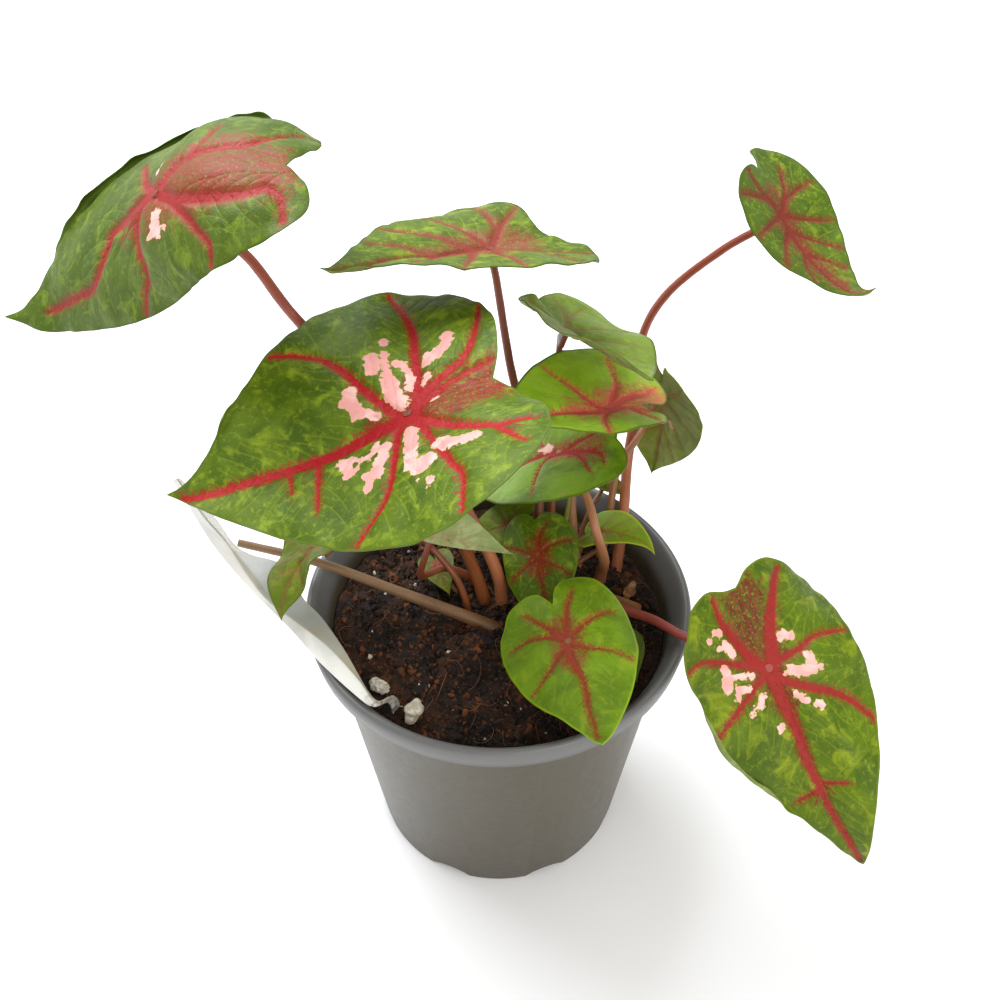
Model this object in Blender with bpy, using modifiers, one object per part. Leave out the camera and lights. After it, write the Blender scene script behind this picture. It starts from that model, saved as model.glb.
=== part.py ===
"""A caladium in its nursery pot: pot, soil, tuber, leaf stalks, blades, a plant label."""
import math

import bmesh
import bpy
import numpy as np
from mathutils import Matrix, Vector

MM = 0.001
GAP = 0.3 * MM

# Pot, in metres
RIM_RADIUS = 60.0 * MM
POT_HEIGHT = 98.0 * MM
BASE_RADIUS = 42.0 * MM
WALL = 0.9 * MM
WALL_TOP_RADIUS = 53.5 * MM
WALL_TOP_HEIGHT = 87.0 * MM
LIP_DROP = 8.0 * MM
LIP_FOOT_RADIUS = 58.9 * MM
FLOOR_HEIGHT = 3.8 * MM
HUB_RADIUS = 13.2 * MM
ARCH_COUNT = 8
ARCH_RADIUS = 9.0 * MM
ARCH_HEIGHT = 3.4 * MM
FIRST_ARCH_ANGLE = -68.0
DRAIN_COUNT = 8
DRAIN_RING_RADIUS = 28.0 * MM
DRAIN_RADIUS = 2.5 * MM
TURNED_STEPS = 36

# Soil and the tuber in it
SOIL_LEVEL = 86.0 * MM
SOIL_BASE = FLOOR_HEIGHT + WALL + GAP
TUBER_TOP = 77.4 * MM
TUBER_HEIGHT = 24.0 * MM
TUBER_CENTRE = (14.0 * MM, 9.0 * MM)
TUBER_HALF_LENGTH = 30.0 * MM
TUBER_HALF_WIDTH = 24.0 * MM
TUBER_TURN = 20.0

# Leaf stalks
ROOT_HEIGHT = 78.0 * MM
COLLAR_HEIGHT = 82.0 * MM
HOLE_TOP = 91.0 * MM
HOLE_CLEARANCE = 0.35 * MM
STALK_STEP = 10.5 * MM
BLADE_THICKNESS = 0.6 * MM
STALK_END = 0.5 * BLADE_THICKNESS + 0.45 * MM
STALK_NECK = 5.0 * MM

# Half of a flat blade: first number along the midrib, as a share of the blade's length
# before the stalk and of the lobe's length behind it; second as a share of the half width
HALF_OUTLINE = (
    (1.00, 0.00), (0.93, 0.05), (0.80, 0.20), (0.60, 0.46), (0.35, 0.75), (0.10, 0.94),
    (-0.25, 1.00), (-0.62, 0.93), (-0.90, 0.70), (-1.00, 0.42), (-0.93, 0.16),
)

# What every blade has unless its own entry says otherwise. Lengths in mm, angles in degrees:
# heading and pitch of the tip, roll, bend along the midrib, curl of the tip, bends of the
# left and right lobe, fold at the midrib and arch of each side, twist and sweep of the tip
BLADE = dict(
    width=0.52, width_left=1.0, width_right=1.0, lobe=0.50, lobe_left=1.0, lobe_right=1.0,
    sinus=0.33, roll=0, bend=-20, curl=0, lobe_bend_left=-10, lobe_bend_right=-10,
    fold_left=8, fold_right=8, arch_left=-20, arch_right=-20, twist=0, sweep=0,
    wave=0.0, waves=5, around=36, rings=4,
)
GREEN = (0.10, 0.24, 0.025)
YOUNG_GREEN = (0.17, 0.33, 0.035)
STALK_BROWN = (0.36, 0.13, 0.07)
STALK_PINK = (0.42, 0.15, 0.11)
STALK_TAN = (0.38, 0.20, 0.09)

# Each leaf: its blade, then its stalk as (x, y) in the soil, points on the way up,
# radius at the root and radius under the blade. The blade hangs from the point named at.
# A blade with its underside out has its stalk on the other face of the formula's sheet
LEAVES = {
    "leaf_far_left": dict(
        blade=dict(at=(-84, 11, 230), length=76, width=0.51, width_left=0.75, width_right=1.23,
                   lobe=0.48, lobe_left=1.30, lobe_right=1.14, sinus=0.50, heading=167,
                   pitch=-45, roll=-2, bend=-2, curl=41, lobe_bend_left=-53,
                   lobe_bend_right=-56, fold_left=-20, fold_right=19, arch_left=-72,
                   arch_right=-43, twist=-32, sweep=-7),
        root=(1, 6), via=((0, 7, 98), (-8, 12, 118), (-22, 18, 143), (-54, 22, 183),
                          (-67, 20, 208)),
        radii=(2.2, 1.3), colour=STALK_PINK),
    "leaf_front_left": dict(
        blade=dict(at=(-23, -18, 185), length=64, width=0.66, width_left=1.09, width_right=1.22,
                   lobe=0.47, sinus=0.37, heading=196, pitch=-21, roll=3, bend=12, curl=20,
                   lobe_bend_left=-33, lobe_bend_right=3, fold_left=5, fold_right=16,
                   arch_left=-9, arch_right=-18, twist=-32),
        root=(-4, 8.5), via=((-7, 8, 98), (-14, 5, 125), (-20, -3, 155)),
        radii=(2.3, 1.3), colour=STALK_BROWN),
    "leaf_back": dict(
        blade=dict(at=(-2, 44, 195), length=56, width=0.54, width_right=1.07, lobe=0.43,
                   lobe_left=1.03, lobe_right=0.87, sinus=0.37, heading=215, pitch=12, roll=1,
                   bend=2, lobe_bend_left=-6, lobe_bend_right=17, fold_left=18,
                   fold_right=13, arch_left=-7, arch_right=-37, twist=3, sweep=3, wave=0.6),
        root=(11, 15), via=((13, 29, 100), (13, 48, 122), (5, 49, 143), (-1, 50, 183)),
        radii=(2.0, 1.1), colour=STALK_BROWN),
    "leaf_far_right": dict(
        blade=dict(at=(79, 44, 205), length=37, width=0.52, width_left=1.07, width_right=0.94,
                   lobe=0.53, lobe_left=1.17, lobe_right=0.78, sinus=0.41, heading=-61,
                   pitch=-38, roll=-27, bend=44, curl=46, lobe_bend_left=-18,
                   lobe_bend_right=6, fold_left=13, fold_right=3, arch_left=11,
                   arch_right=-16, twist=14, around=32, rings=3),
        root=(38.5, 19.5), via=((41, 31, 101), (43, 47, 113), (45.5, 57, 129),
                                (46, 63, 150), (52, 60, 169), (65, 52, 189)),
        radii=(2.1, 1.1), colour=STALK_PINK),
    "leaf_upper_middle": dict(
        blade=dict(at=(20, 32, 175), length=41, width=0.56, width_left=1.09, lobe=0.39,
                   lobe_left=1.05, lobe_right=0.86, sinus=0.30, heading=-47, pitch=-1,
                   roll=-29, bend=12, curl=-10, lobe_bend_left=8, lobe_bend_right=26,
                   fold_left=15, fold_right=21, arch_left=-11, arch_right=-17, twist=7,
                   sweep=-31, wave=-1.1, around=32, rings=3),
        root=(20, 19), via=((17.5, 30, 96), (18.5, 46, 122), (19, 54, 145), (19, 50, 160)),
        radii=(1.6, 0.9), colour=STALK_BROWN),
    "leaf_middle_right": dict(
        blade=dict(at=(31.5, 19, 157), length=43.5, width=0.55, width_left=0.78,
                   width_right=1.04, lobe=0.53, lobe_left=0.62, lobe_right=1.06, sinus=0.30,
                   heading=207, pitch=11, roll=2, bend=20, curl=32, lobe_bend_left=-10,
                   lobe_bend_right=-23, fold_left=7, fold_right=17, arch_left=17,
                   arch_right=-5, twist=-10, sweep=18, around=32, rings=3),
        root=(27, 20.5), via=((25.5, 28, 92), (24.5, 38, 102), (26.5, 46, 112),
                              (30, 51, 130), (31.5, 47, 144), (31.5, 33, 151)),
        radii=(1.7, 1.0), colour=STALK_TAN),
    "leaf_middle": dict(
        blade=dict(at=(18.4, 24.5, 136), length=45.5, width=0.54, width_left=0.98,
                   width_right=0.98, lobe=0.56, lobe_left=0.98, lobe_right=0.90, sinus=0.45,
                   heading=157, pitch=-34.5, roll=-5.5, bend=-37, lobe_bend_left=-27,
                   lobe_bend_right=2, fold_left=7, fold_right=5, arch_left=-16,
                   arch_right=-22, twist=-1, sweep=-9, around=32, rings=3),
        root=(33, 16.5), via=((33.3, 15, 92), (33.2, 9, 104), (29.8, 6, 119), (27, 14, 126)),
        radii=(2.3, 1.1), colour=STALK_PINK),
    "leaf_behind_right": dict(
        blade=dict(at=(55, 62, 127), length=41.5, width=0.53, width_left=0.93, width_right=1.07,
                   lobe=0.48, sinus=0.26, heading=-118, pitch=-100, roll=16, bend=2,
                   lobe_bend_left=17, lobe_bend_right=-4, fold_left=19, fold_right=17,
                   arch_left=-14, arch_right=-20, twist=-10, sweep=-9, around=28, rings=3),
        underside_out=True, root=(33, 23.5), via=((36.3, 31, 100), (39, 41, 113), (46, 48, 122)),
        radii=(1.6, 1.0), colour=STALK_TAN),
    "leaf_far_front_right": dict(
        blade=dict(at=(77, -37, 107), length=71, width=0.43, width_left=1.05, width_right=0.81,
                   lobe=0.43, lobe_left=1.03, lobe_right=0.88, sinus=0.35, heading=-63,
                   pitch=-35, roll=29, bend=-30, curl=-29, lobe_bend_left=-18,
                   lobe_bend_right=16, fold_left=-8, fold_right=27, arch_left=-48,
                   arch_right=-4, twist=32, sweep=4, wave=3.6, around=40),
        root=(28, 5), via=((34, -1, 93), (46, -11, 99), (57, -22, 102)),
        radii=(1.9, 1.2), colour=STALK_PINK),
    "leaf_front": dict(
        blade=dict(at=(20, -30, 111), length=44, width=0.48, lobe=0.53, sinus=0.35,
                   heading=-76, pitch=4, roll=15, bend=6, curl=31, lobe_bend_left=6,
                   lobe_bend_right=-5, fold_left=-6, fold_right=2, arch_left=-35,
                   arch_right=-37, twist=-5, sweep=-6, wave=-0.7),
        root=(11, -1), via=((13, -12, 88.5), (18, -27, 97)),
        radii=(1.6, 1.0), colour=STALK_TAN),
    "leaf_front_inner": dict(
        blade=dict(at=(12, 8, 108), length=28, width=0.56, width_left=0.9, width_right=0.88,
                   lobe=0.56, sinus=0.42, heading=-86, pitch=-20, roll=10, bend=-14,
                   lobe_bend_left=-15, lobe_bend_right=-7, fold_left=-10, fold_right=-12, arch_left=-34,
                   arch_right=-42, twist=-4, around=28, rings=3),
        root=(12.4, 6.1), via=((12.6, 7, 94),),
        radii=(1.5, 0.9), colour=STALK_TAN),
    "leaf_inner_left": dict(
        blade=dict(at=(3, 26, 103), length=21, width=0.47, lobe=0.50,
                   sinus=0.37, heading=178, pitch=-28, roll=-19, bend=-19, lobe_bend_left=-5,
                   arch_left=-23, arch_right=-22, sweep=-11, around=24, rings=3),
        root=(6, 11), via=((6, 14, 92),),
        radii=(1.3, 0.8), colour=STALK_TAN),
    "leaf_turned_back": dict(
        blade=dict(at=(-18.5, -6, 130), length=24, width=0.5, width_right=0.25, lobe=0.3,
                   sinus=0.18, heading=-6, pitch=-16, roll=78, bend=-4, fold_left=6,
                   fold_right=14, around=24, rings=3),
        root=(-5, 15), via=((-9.5, 14, 91), (-17, 12, 97), (-24, 5, 101), (-23, -2, 113)),
        radii=(1.5, 0.9), colour=STALK_BROWN),
    "leaf_inner_right": dict(
        blade=dict(at=(31.8, 20, 105.2), length=22, width=0.53, width_right=0.65, lobe=0.28,
                   sinus=0.20, heading=-23, pitch=29, roll=-16, bend=-46, curl=-28,
                   lobe_bend_left=-7, fold_left=19, fold_right=0, arch_left=-12,
                   arch_right=-28, twist=6, sweep=-9, around=24, rings=3),
        root=(21, 12), via=((22, 13, 94),),
        radii=(1.4, 0.8), colour=STALK_TAN),
    "leaf_over_rim": dict(
        blade=dict(at=(-55, 2, 118), length=26, width=0.53, lobe=0.52, sinus=0.21,
                   heading=227, pitch=-17, roll=32, bend=-37, curl=-5, lobe_bend_left=-12,
                   lobe_bend_right=-12, fold_left=7, fold_right=18, arch_left=6,
                   arch_right=-10, twist=-22, sweep=13, wave=-2.0, around=28, rings=3),
        root=(-9, 4.5), via=((-14, 8, 98), (-28, 14, 112), (-44, 12, 117)),
        radii=(1.3, 0.8), colour=STALK_BROWN),
    "leaf_behind_rim": dict(
        blade=dict(at=(36.5, 46, 104), length=10, width=0.6, heading=-20, pitch=-20,
                   roll=-10, around=20, rings=3),
        neck=3, root=(27, 27), via=((28, 33, 92), (31, 39, 98), (34, 43.5, 100)),
        radii=(1.2, 0.8), colour=STALK_TAN),
    "leaf_under_front": dict(
        blade=dict(at=(38, -16, 92), length=13, width=0.55, heading=-74, pitch=-2, roll=4,
                   arch_left=-30, arch_right=-30, around=24, rings=3),
        neck=3, root=(19, -1), via=((22, -4, 90), (33, -14, 89.5)),
        radii=(1.2, 0.8), colour=STALK_TAN),
    "leaf_low_left": dict(
        blade=dict(at=(-20, 18, 92), length=12, width=0.5, sinus=0.2, heading=-70, pitch=-4,
                   roll=12, fold_left=14, fold_right=14, arch_left=-10, arch_right=-10,
                   around=16, rings=2),
        neck=3, root=(-12, 11), via=((-15, 13, 87),),
        radii=(1.0, 0.7), colour=STALK_TAN),
}

# Stalks that carry no blade: points after the root, and radii at the root and at the end
BARE_STALKS = {
    "cut_stalk": dict(
        root=(2, -3.5), via=((-2, -4, 87), (-32, 3, 96), (-57, 8, 104), (-81.5, 11.5, 109)),
        radii=(2.4, 1.2), colour=STALK_TAN),
    "stalk_stub": dict(
        root=(33.5, 10), via=((35, 8, 87), (39, 4, 90), (44, -1, 92.5)),
        radii=(2.2, 1.4), colour=STALK_PINK),
    "rolled_leaf": dict(
        root=(20, 26), via=((21, 29, 92), (22.5, 32, 103), (23, 32, 112)),
        radii=(1.6, 0.6), colour=YOUNG_GREEN),
}

# Loose lumps on the soil: (x, y) of the middle and (length, width, height) in mm, turn in degrees
LUMPS = {
    "perlite_front": dict(at=(-25, -37.5), size=(8.5, 5.5, 5.0), turn=70, material="perlite"),
    "perlite_left": dict(at=(-36, -27.5), size=(6.0, 4.5, 3.4), turn=-40, material="perlite"),
    "bark_chip": dict(at=(42.8, 11.5), size=(8.0, 3.6, 2.8), turn=65, material="bark"),
}
LUMP_MATERIALS = {
    "perlite": ((0.80, 0.78, 0.70), 0.9),
    "bark": ((0.45, 0.27, 0.12), 0.8),
}
LUMP_REST = 0.6 * MM

# Plant label: three lines from foot to tip, (x, y, z) in mm; the crease is its spine
LABEL_OUTER = (
    (-31, -37, 77), (-32, -38, 92), (-36, -44.3, 98.9), (-42, -39.5, 99.1),
    (-53, -28, 99.3), (-62.5, -16.5, 100), (-72, -8, 104), (-78.5, -4, 110),
    (-86, 1.5, 118), (-91, 5, 128), (-94, 3, 143),
)
LABEL_CREASE = (
    (-30.2, -35.7, 77), (-31, -36.8, 92), (-35.1, -43.4, 99.1), (-40.5, -36, 100.2),
    (-50, -24.5, 100.6), (-59.5, -16, 101.2), (-69.5, -9.5, 105), (-75.5, -5, 111),
    (-82, 1, 120), (-87, 2, 129), (-92.5, 2.5, 144),
)
LABEL_INNER = (
    (-29.2, -34.5, 77), (-30, -35.6, 92), (-34.4, -42.4, 98.9), (-38, -38.5, 99.1),
    (-45.5, -24.5, 99.2), (-53.5, -12, 99.6), (-60, -6, 103), (-66, 2.5, 108),
    (-78, 0.5, 117), (-84, 2, 129), (-91.5, 2.5, 144),
)
LABEL_THICKNESS = 0.6 * MM


def material(name, colour, roughness=0.5, metallic=0.0):
    made = bpy.data.materials.get(name) or bpy.data.materials.new(name)
    made.use_nodes = True
    shader = made.node_tree.nodes["Principled BSDF"]
    shader.inputs["Base Color"].default_value = (*colour, 1.0)
    shader.inputs["Roughness"].default_value = roughness
    shader.inputs["Metallic"].default_value = metallic
    return made


def clear_scene():
    for thing in list(bpy.data.objects):
        bpy.data.objects.remove(thing, do_unlink=True)


def new_collection(name):
    made = bpy.data.collections.new(name)
    bpy.context.scene.collection.children.link(made)
    return made


def add_object(name, data, collection, mat=None):
    made = bpy.data.objects.new(name, data)
    collection.objects.link(made)
    if mat is not None:
        data.materials.append(mat)
    return made


def hide_guide(guide):
    guide.hide_render = True
    guide.display_type = "WIRE"


def apply_modifiers(thing):
    """Keep the evaluated mesh and drop the modifiers."""
    depsgraph = bpy.context.evaluated_depsgraph_get()
    mesh = bpy.data.meshes.new_from_object(thing.evaluated_get(depsgraph))
    thing.modifiers.clear()
    thing.data = mesh


def turned(name, profile, collection, mat=None, steps=TURNED_STEPS):
    """A profile in the XZ plane turned once round Z."""
    mesh = bpy.data.meshes.new(name)
    edges = [(i, i + 1) for i in range(len(profile) - 1)]
    mesh.from_pydata([(r, 0.0, z) for r, z in profile], edges, [])
    made = add_object(name, mesh, collection, mat)
    screw = made.modifiers.new("turn", "SCREW")
    screw.steps = steps
    screw.render_steps = steps
    screw.use_merge_vertices = True
    screw.merge_threshold = 0.00001
    screw.use_normal_calculate = True
    apply_modifiers(made)
    return made


def shade(mesh, angle=35.0):
    mesh.shade_smooth()
    mesh.set_sharp_from_angle(angle=math.radians(angle))


def wall_inner_radius(z):
    """Inner radius of the pot's wall at height z."""
    outer = BASE_RADIUS + (WALL_TOP_RADIUS - BASE_RADIUS) * z / WALL_TOP_HEIGHT
    return outer - WALL


def pot_profile():
    """Inner floor out and up the wall, over the lip, down the outside, under the floor."""
    floor_top = FLOOR_HEIGHT + WALL
    hub_top = WALL + 0.2 * MM
    return (
        (0.0, hub_top),
        (HUB_RADIUS, hub_top),
        (HUB_RADIUS + 2.4 * MM, floor_top),
        (wall_inner_radius(floor_top) - 0.9 * MM, floor_top),
        (wall_inner_radius(floor_top + 1.4 * MM), floor_top + 1.4 * MM),
        (wall_inner_radius(WALL_TOP_HEIGHT), WALL_TOP_HEIGHT),
        (53.9 * MM, 91.2 * MM),
        (55.0 * MM, 93.6 * MM),
        (56.7 * MM, 96.4 * MM),
        (57.6 * MM, 97.6 * MM),
        (58.6 * MM, POT_HEIGHT),
        (59.6 * MM, 97.4 * MM),
        (RIM_RADIUS, 96.2 * MM),
        (LIP_FOOT_RADIUS, POT_HEIGHT - LIP_DROP),
        (LIP_FOOT_RADIUS - WALL, POT_HEIGHT - LIP_DROP),
        (58.7 * MM, 94.6 * MM),
        (58.1 * MM, 95.4 * MM),
        (57.4 * MM, 95.2 * MM),
        (56.0 * MM, 92.9 * MM),
        (54.8 * MM, 90.9 * MM),
        (WALL_TOP_RADIUS, WALL_TOP_HEIGHT - 0.2 * MM),
        (BASE_RADIUS, 0.0),
        (BASE_RADIUS - WALL, 0.0),
        (wall_inner_radius(FLOOR_HEIGHT), FLOOR_HEIGHT),
        (HUB_RADIUS + 3.6 * MM, FLOOR_HEIGHT),
        (HUB_RADIUS + 1.2 * MM, 0.0),
        (0.0, 0.0),
    )


def radial_cylinder(name, angle, inner, outer, height, radius, collection):
    """A cylinder lying along a radius of the pot."""
    mesh = bpy.data.meshes.new(name)
    cage = bmesh.new()
    bmesh.ops.create_cone(cage, cap_ends=True, segments=24, radius1=radius, radius2=radius,
                          depth=outer - inner)
    bmesh.ops.rotate(cage, verts=cage.verts, matrix=Matrix.Rotation(math.radians(90), 3, "Y"))
    bmesh.ops.translate(cage, verts=cage.verts, vec=(0.5 * (inner + outer), 0.0, height))
    bmesh.ops.rotate(cage, verts=cage.verts, matrix=Matrix.Rotation(math.radians(angle), 3, "Z"))
    cage.to_mesh(mesh)
    cage.free()
    guide = add_object(name, mesh, collection)
    hide_guide(guide)
    return guide


def upright_cylinder(name, x, y, bottom, top, radius, collection):
    mesh = bpy.data.meshes.new(name)
    cage = bmesh.new()
    bmesh.ops.create_cone(cage, cap_ends=True, segments=12, radius1=radius, radius2=radius,
                          depth=top - bottom)
    bmesh.ops.translate(cage, verts=cage.verts, vec=(x, y, 0.5 * (bottom + top)))
    cage.to_mesh(mesh)
    cage.free()
    guide = add_object(name, mesh, collection)
    hide_guide(guide)
    return guide


def cut(thing, cutters):
    """Take every object of a collection out of one object."""
    difference = thing.modifiers.new("cut", "BOOLEAN")
    difference.operation = "DIFFERENCE"
    difference.operand_type = "COLLECTION"
    difference.collection = cutters
    difference.solver = "EXACT"
    apply_modifiers(thing)


def make_pot(parts):
    mat = material("pot_plastic", (0.20, 0.20, 0.19), 0.38)
    pot = turned("pot", pot_profile(), parts, mat)
    cutters = new_collection("pot_cutters")
    arch_centre = ARCH_HEIGHT - ARCH_RADIUS
    for i in range(ARCH_COUNT):
        angle = FIRST_ARCH_ANGLE + 360.0 * i / ARCH_COUNT
        radial_cylinder(f"arch_{i + 1}", angle, BASE_RADIUS - 4 * MM, BASE_RADIUS + 4 * MM,
                        arch_centre, ARCH_RADIUS, cutters)
    for i in range(DRAIN_COUNT):
        angle = 2.0 * math.pi * i / DRAIN_COUNT
        x = DRAIN_RING_RADIUS * math.cos(angle)
        y = DRAIN_RING_RADIUS * math.sin(angle)
        upright_cylinder(f"drain_{i + 1}", x, y, FLOOR_HEIGHT - MM, FLOOR_HEIGHT + WALL + MM,
                         DRAIN_RADIUS, cutters)
    cut(pot, cutters)
    shade(pot.data)
    return pot


def soil_height(x, y):
    """Height of the soil's surface: low swells and hollows, level at the wall."""
    px = x / MM
    py = y / MM
    swell = 0.9 * math.sin(0.13 * px + 0.6) * math.cos(0.11 * py - 0.4)
    ripple = 0.6 * math.sin(0.31 * px - 0.22 * py + 1.0) + 0.4 * math.cos(0.27 * py + 0.35 * px)
    fade = 1.0 - min(1.0, math.hypot(px, py) / 51.0) ** 4
    return SOIL_LEVEL + (swell + ripple) * fade * MM


def make_tuber(parts, cutters):
    """The tuber under the soil, and the same shape a little larger as the soil's cutter."""
    shape = ((0.0, 1.0), (0.93, 1.0), (1.0, 0.82), (0.97, 0.45), (0.74, 0.12), (0.4, 0.0),
             (0.0, 0.0))
    mat = material("tuber_skin", (0.11, 0.06, 0.035), 0.85)
    for name, grow, home in (("tuber", 0.0, parts), ("tuber_space", GAP, cutters)):
        base = TUBER_TOP - TUBER_HEIGHT
        profile = [(r, z) for r, z in shape]
        made = turned(name, profile, home, mat, 24)
        length = TUBER_HALF_LENGTH + grow
        width = TUBER_HALF_WIDTH + grow
        height = TUBER_HEIGHT + 2.0 * grow
        turn = Matrix.Rotation(math.radians(TUBER_TURN), 4, "Z")
        place = Matrix.Translation((*TUBER_CENTRE, base - grow))
        made.data.transform(place @ turn @ Matrix.Diagonal((length, width, height, 1.0)))
        if home is cutters:
            hide_guide(made)
        else:
            shade(made.data)


def make_soil(parts, cutters):
    edge = wall_inner_radius(SOIL_LEVEL) - GAP
    ring_radii = [0.0] + [edge * share for share in (0.22, 0.44, 0.64, 0.82)]
    profile = [(r, SOIL_LEVEL) for r in ring_radii]
    foot = wall_inner_radius(SOIL_BASE + 1.4 * MM) - GAP
    profile += [(edge, SOIL_LEVEL), (foot, SOIL_BASE + 1.4 * MM), (foot - 1.5 * MM, SOIL_BASE),
                (0.0, SOIL_BASE)]
    mat = material("soil_dark", (0.022, 0.011, 0.006), 0.95)
    soil = turned("soil", profile, parts, mat)
    for vertex in soil.data.vertices:
        if vertex.co.z > SOIL_LEVEL - MM:
            vertex.co.z = soil_height(vertex.co.x, vertex.co.y)
    cut(soil, cutters)
    shade(soil.data, 25.0)
    return soil


def smooth_line(points, count):
    """Points on a Catmull-Rom curve through the given ones, evenly spread in parameter."""
    knots = np.array(points, float)
    first = 2.0 * knots[0] - knots[1]
    last = 2.0 * knots[-1] - knots[-2]
    knots = np.vstack([first, knots, last])
    spans = len(knots) - 3
    line = []
    for k in range(count):
        place = k / (count - 1) * spans
        i = min(int(place), spans - 1)
        u = place - i
        a, b, c, d = knots[i:i + 4]
        line.append(0.5 * (2.0 * b + (c - a) * u + (2.0 * a - 5.0 * b + 4.0 * c - d) * u ** 2
                           + (3.0 * b - a - 3.0 * c + d) * u ** 3))
    return np.array(line)


def even_line(points, step):
    """The same curve with its points about one step apart."""
    fine = smooth_line(points, 24 * len(points))
    lengths = np.concatenate([[0.0], np.cumsum(np.linalg.norm(np.diff(fine, axis=0), axis=1))])
    count = max(4, int(round(lengths[-1] / step)) + 1)
    wanted = np.linspace(0.0, lengths[-1], count)
    return np.stack([np.interp(wanted, lengths, fine[:, k]) for k in range(3)], axis=1)


def flat_outline(blade):
    """The blade's edge in its own plane, from the tip round by the left to the right."""
    length = blade["length"]
    halves = []
    for side, mirror in (("left", 1.0), ("right", -1.0)):
        lobe = blade["lobe"] * blade["lobe_" + side] * length
        half_width = blade["width"] * blade["width_" + side] * length
        points = [(x * (length if x > 0 else lobe), y * half_width) for x, y in HALF_OUTLINE]
        points.append((-blade["sinus"] * length, 0.0))
        half = smooth_line(points, blade["around"] // 2 + 1)
        half[:, 1] *= mirror
        halves.append(half)
    return np.vstack([halves[0], halves[1][::-1][1:-1]])


def spine(blade, lobe_bend, along):
    """Place, side direction and up direction of the midrib's line at distances along it."""
    length = blade["length"]
    forward = np.linspace(0.0, length, 60)
    back = np.linspace(0.0, -1.3 * length * max(blade["lobe"], 0.3), 60)
    results = []
    for line, to_tip in ((forward, True), (back, False)):
        share = line / length
        if to_tip:
            late = np.clip((share - 0.7) / 0.3, 0.0, 1.0)
            ease = late * late * (3.0 - 2.0 * late)
            rise = np.radians(blade["bend"]) * share + np.radians(blade["curl"]) * ease
        else:
            rise = np.radians(lobe_bend) * line / (blade["lobe"] * length)
        turn = np.radians(blade["sweep"]) * share
        twist = np.radians(blade["twist"]) * share
        ahead = np.stack([np.cos(rise) * np.cos(turn), np.cos(rise) * np.sin(turn),
                          np.sin(rise)], axis=1)
        middle = ahead.copy()
        middle[1:] = 0.5 * (ahead[1:] + ahead[:-1])
        place = np.cumsum(middle * np.diff(line, prepend=0.0)[:, None], axis=0)
        level = np.stack([-np.sin(turn), np.cos(turn), 0.0 * turn], axis=1)
        upright = np.cross(ahead, level)
        side = level * np.cos(twist)[:, None] + upright * np.sin(twist)[:, None]
        results.append((np.abs(line), place, side, np.cross(ahead, side)))
    sampled = []
    for kind in (1, 2, 3):
        front, rear = [
            np.stack([np.interp(sign * along, res[0], res[kind][:, k]) for k in range(3)], axis=1)
            for sign, res in ((1.0, results[0]), (-1.0, results[1]))
        ]
        sampled.append(np.where((along >= 0.0)[:, None], front, rear))
    return sampled


def blade_turn(blade):
    heading = Matrix.Rotation(math.radians(blade["heading"]), 3, "Z")
    pitch = Matrix.Rotation(math.radians(-blade["pitch"]), 3, "Y")
    roll = Matrix.Rotation(math.radians(blade["roll"]), 3, "X")
    return heading @ pitch @ roll


def blade_points(blade, flat, share):
    """Flat blade points, with their share of the way out to the edge, set in space."""
    half_width = blade["width"] * blade["length"]
    x = flat[:, 0]
    y = flat[:, 1]
    on_left = y >= 0.0
    out = np.abs(y) / half_width
    fold = np.radians(np.where(on_left, blade["fold_left"], blade["fold_right"]))
    arch = np.radians(np.where(on_left, blade["arch_left"], blade["arch_right"]))
    across = half_width * (np.sin(fold + arch * out) - np.sin(fold)) / arch * np.sign(y)
    lift = half_width * (np.cos(fold) - np.cos(fold + arch * out)) / arch
    lift = lift + blade["wave"] * share ** 2 * np.sin(blade["waves"] * np.arctan2(y, x))
    blend = np.clip(0.5 + y / (0.6 * half_width), 0.0, 1.0)
    blend = blend * blend * (3.0 - 2.0 * blend)
    points = 0.0
    for weight, bend in ((blend, blade["lobe_bend_left"]), (1.0 - blend, blade["lobe_bend_right"])):
        place, side, up = spine(blade, bend, x)
        points = points + weight[:, None] * (place + side * across[:, None] + up * lift[:, None])
    turn = np.array(blade_turn(blade))
    return (points @ turn.T + np.array(blade["at"])) * MM


def blade_mesh(name, blade):
    """One sheet of triangles from the stalk's point out to the edge."""
    edge = flat_outline(blade)
    rings = blade["rings"]
    around = len(edge)
    rows = [blade_points(blade, edge * (j / rings), np.full(around, j / rings))
            for j in range(1, rings + 1)]
    points = np.vstack([np.array([blade["at"]]) * MM, *rows])
    faces = []
    for i in range(around):
        here = 1 + i
        after = 1 + (i + 1) % around
        faces.append((0, here, after))
        for j in range(rings - 1):
            a = here + j * around
            b = here + (j + 1) * around
            c = after + (j + 1) * around
            d = after + j * around
            faces.append((a, b, c))
            faces.append((a, c, d))
    mesh = bpy.data.meshes.new(name)
    mesh.from_pydata(points.tolist(), [], faces)
    mesh.update()
    return mesh


def make_blade(leaf_name, blade, parts, mat):
    name = leaf_name + "_blade"
    made = add_object(name, blade_mesh(name, blade), parts, mat)
    thick = made.modifiers.new("thickness", "SOLIDIFY")
    thick.thickness = BLADE_THICKNESS
    thick.offset = 0.0
    made.data.shade_smooth()
    return made


def tube(name, line, radii, collection, mat=None):
    """A tapering tube with closed ends through the points of a line."""
    curve = bpy.data.curves.new(name, "CURVE")
    curve.dimensions = "3D"
    curve.bevel_depth = 1.0
    curve.bevel_resolution = 2
    curve.use_fill_caps = True
    spline = curve.splines.new("POLY")
    spline.points.add(len(line) - 1)
    for i, (point, place) in enumerate(zip(spline.points, line)):
        share = i / (len(line) - 1)
        point.co = (*place, 1.0)
        point.radius = radii[0] + (radii[1] - radii[0]) * share ** 0.7
    return add_object(name, curve, collection, mat)


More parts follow.
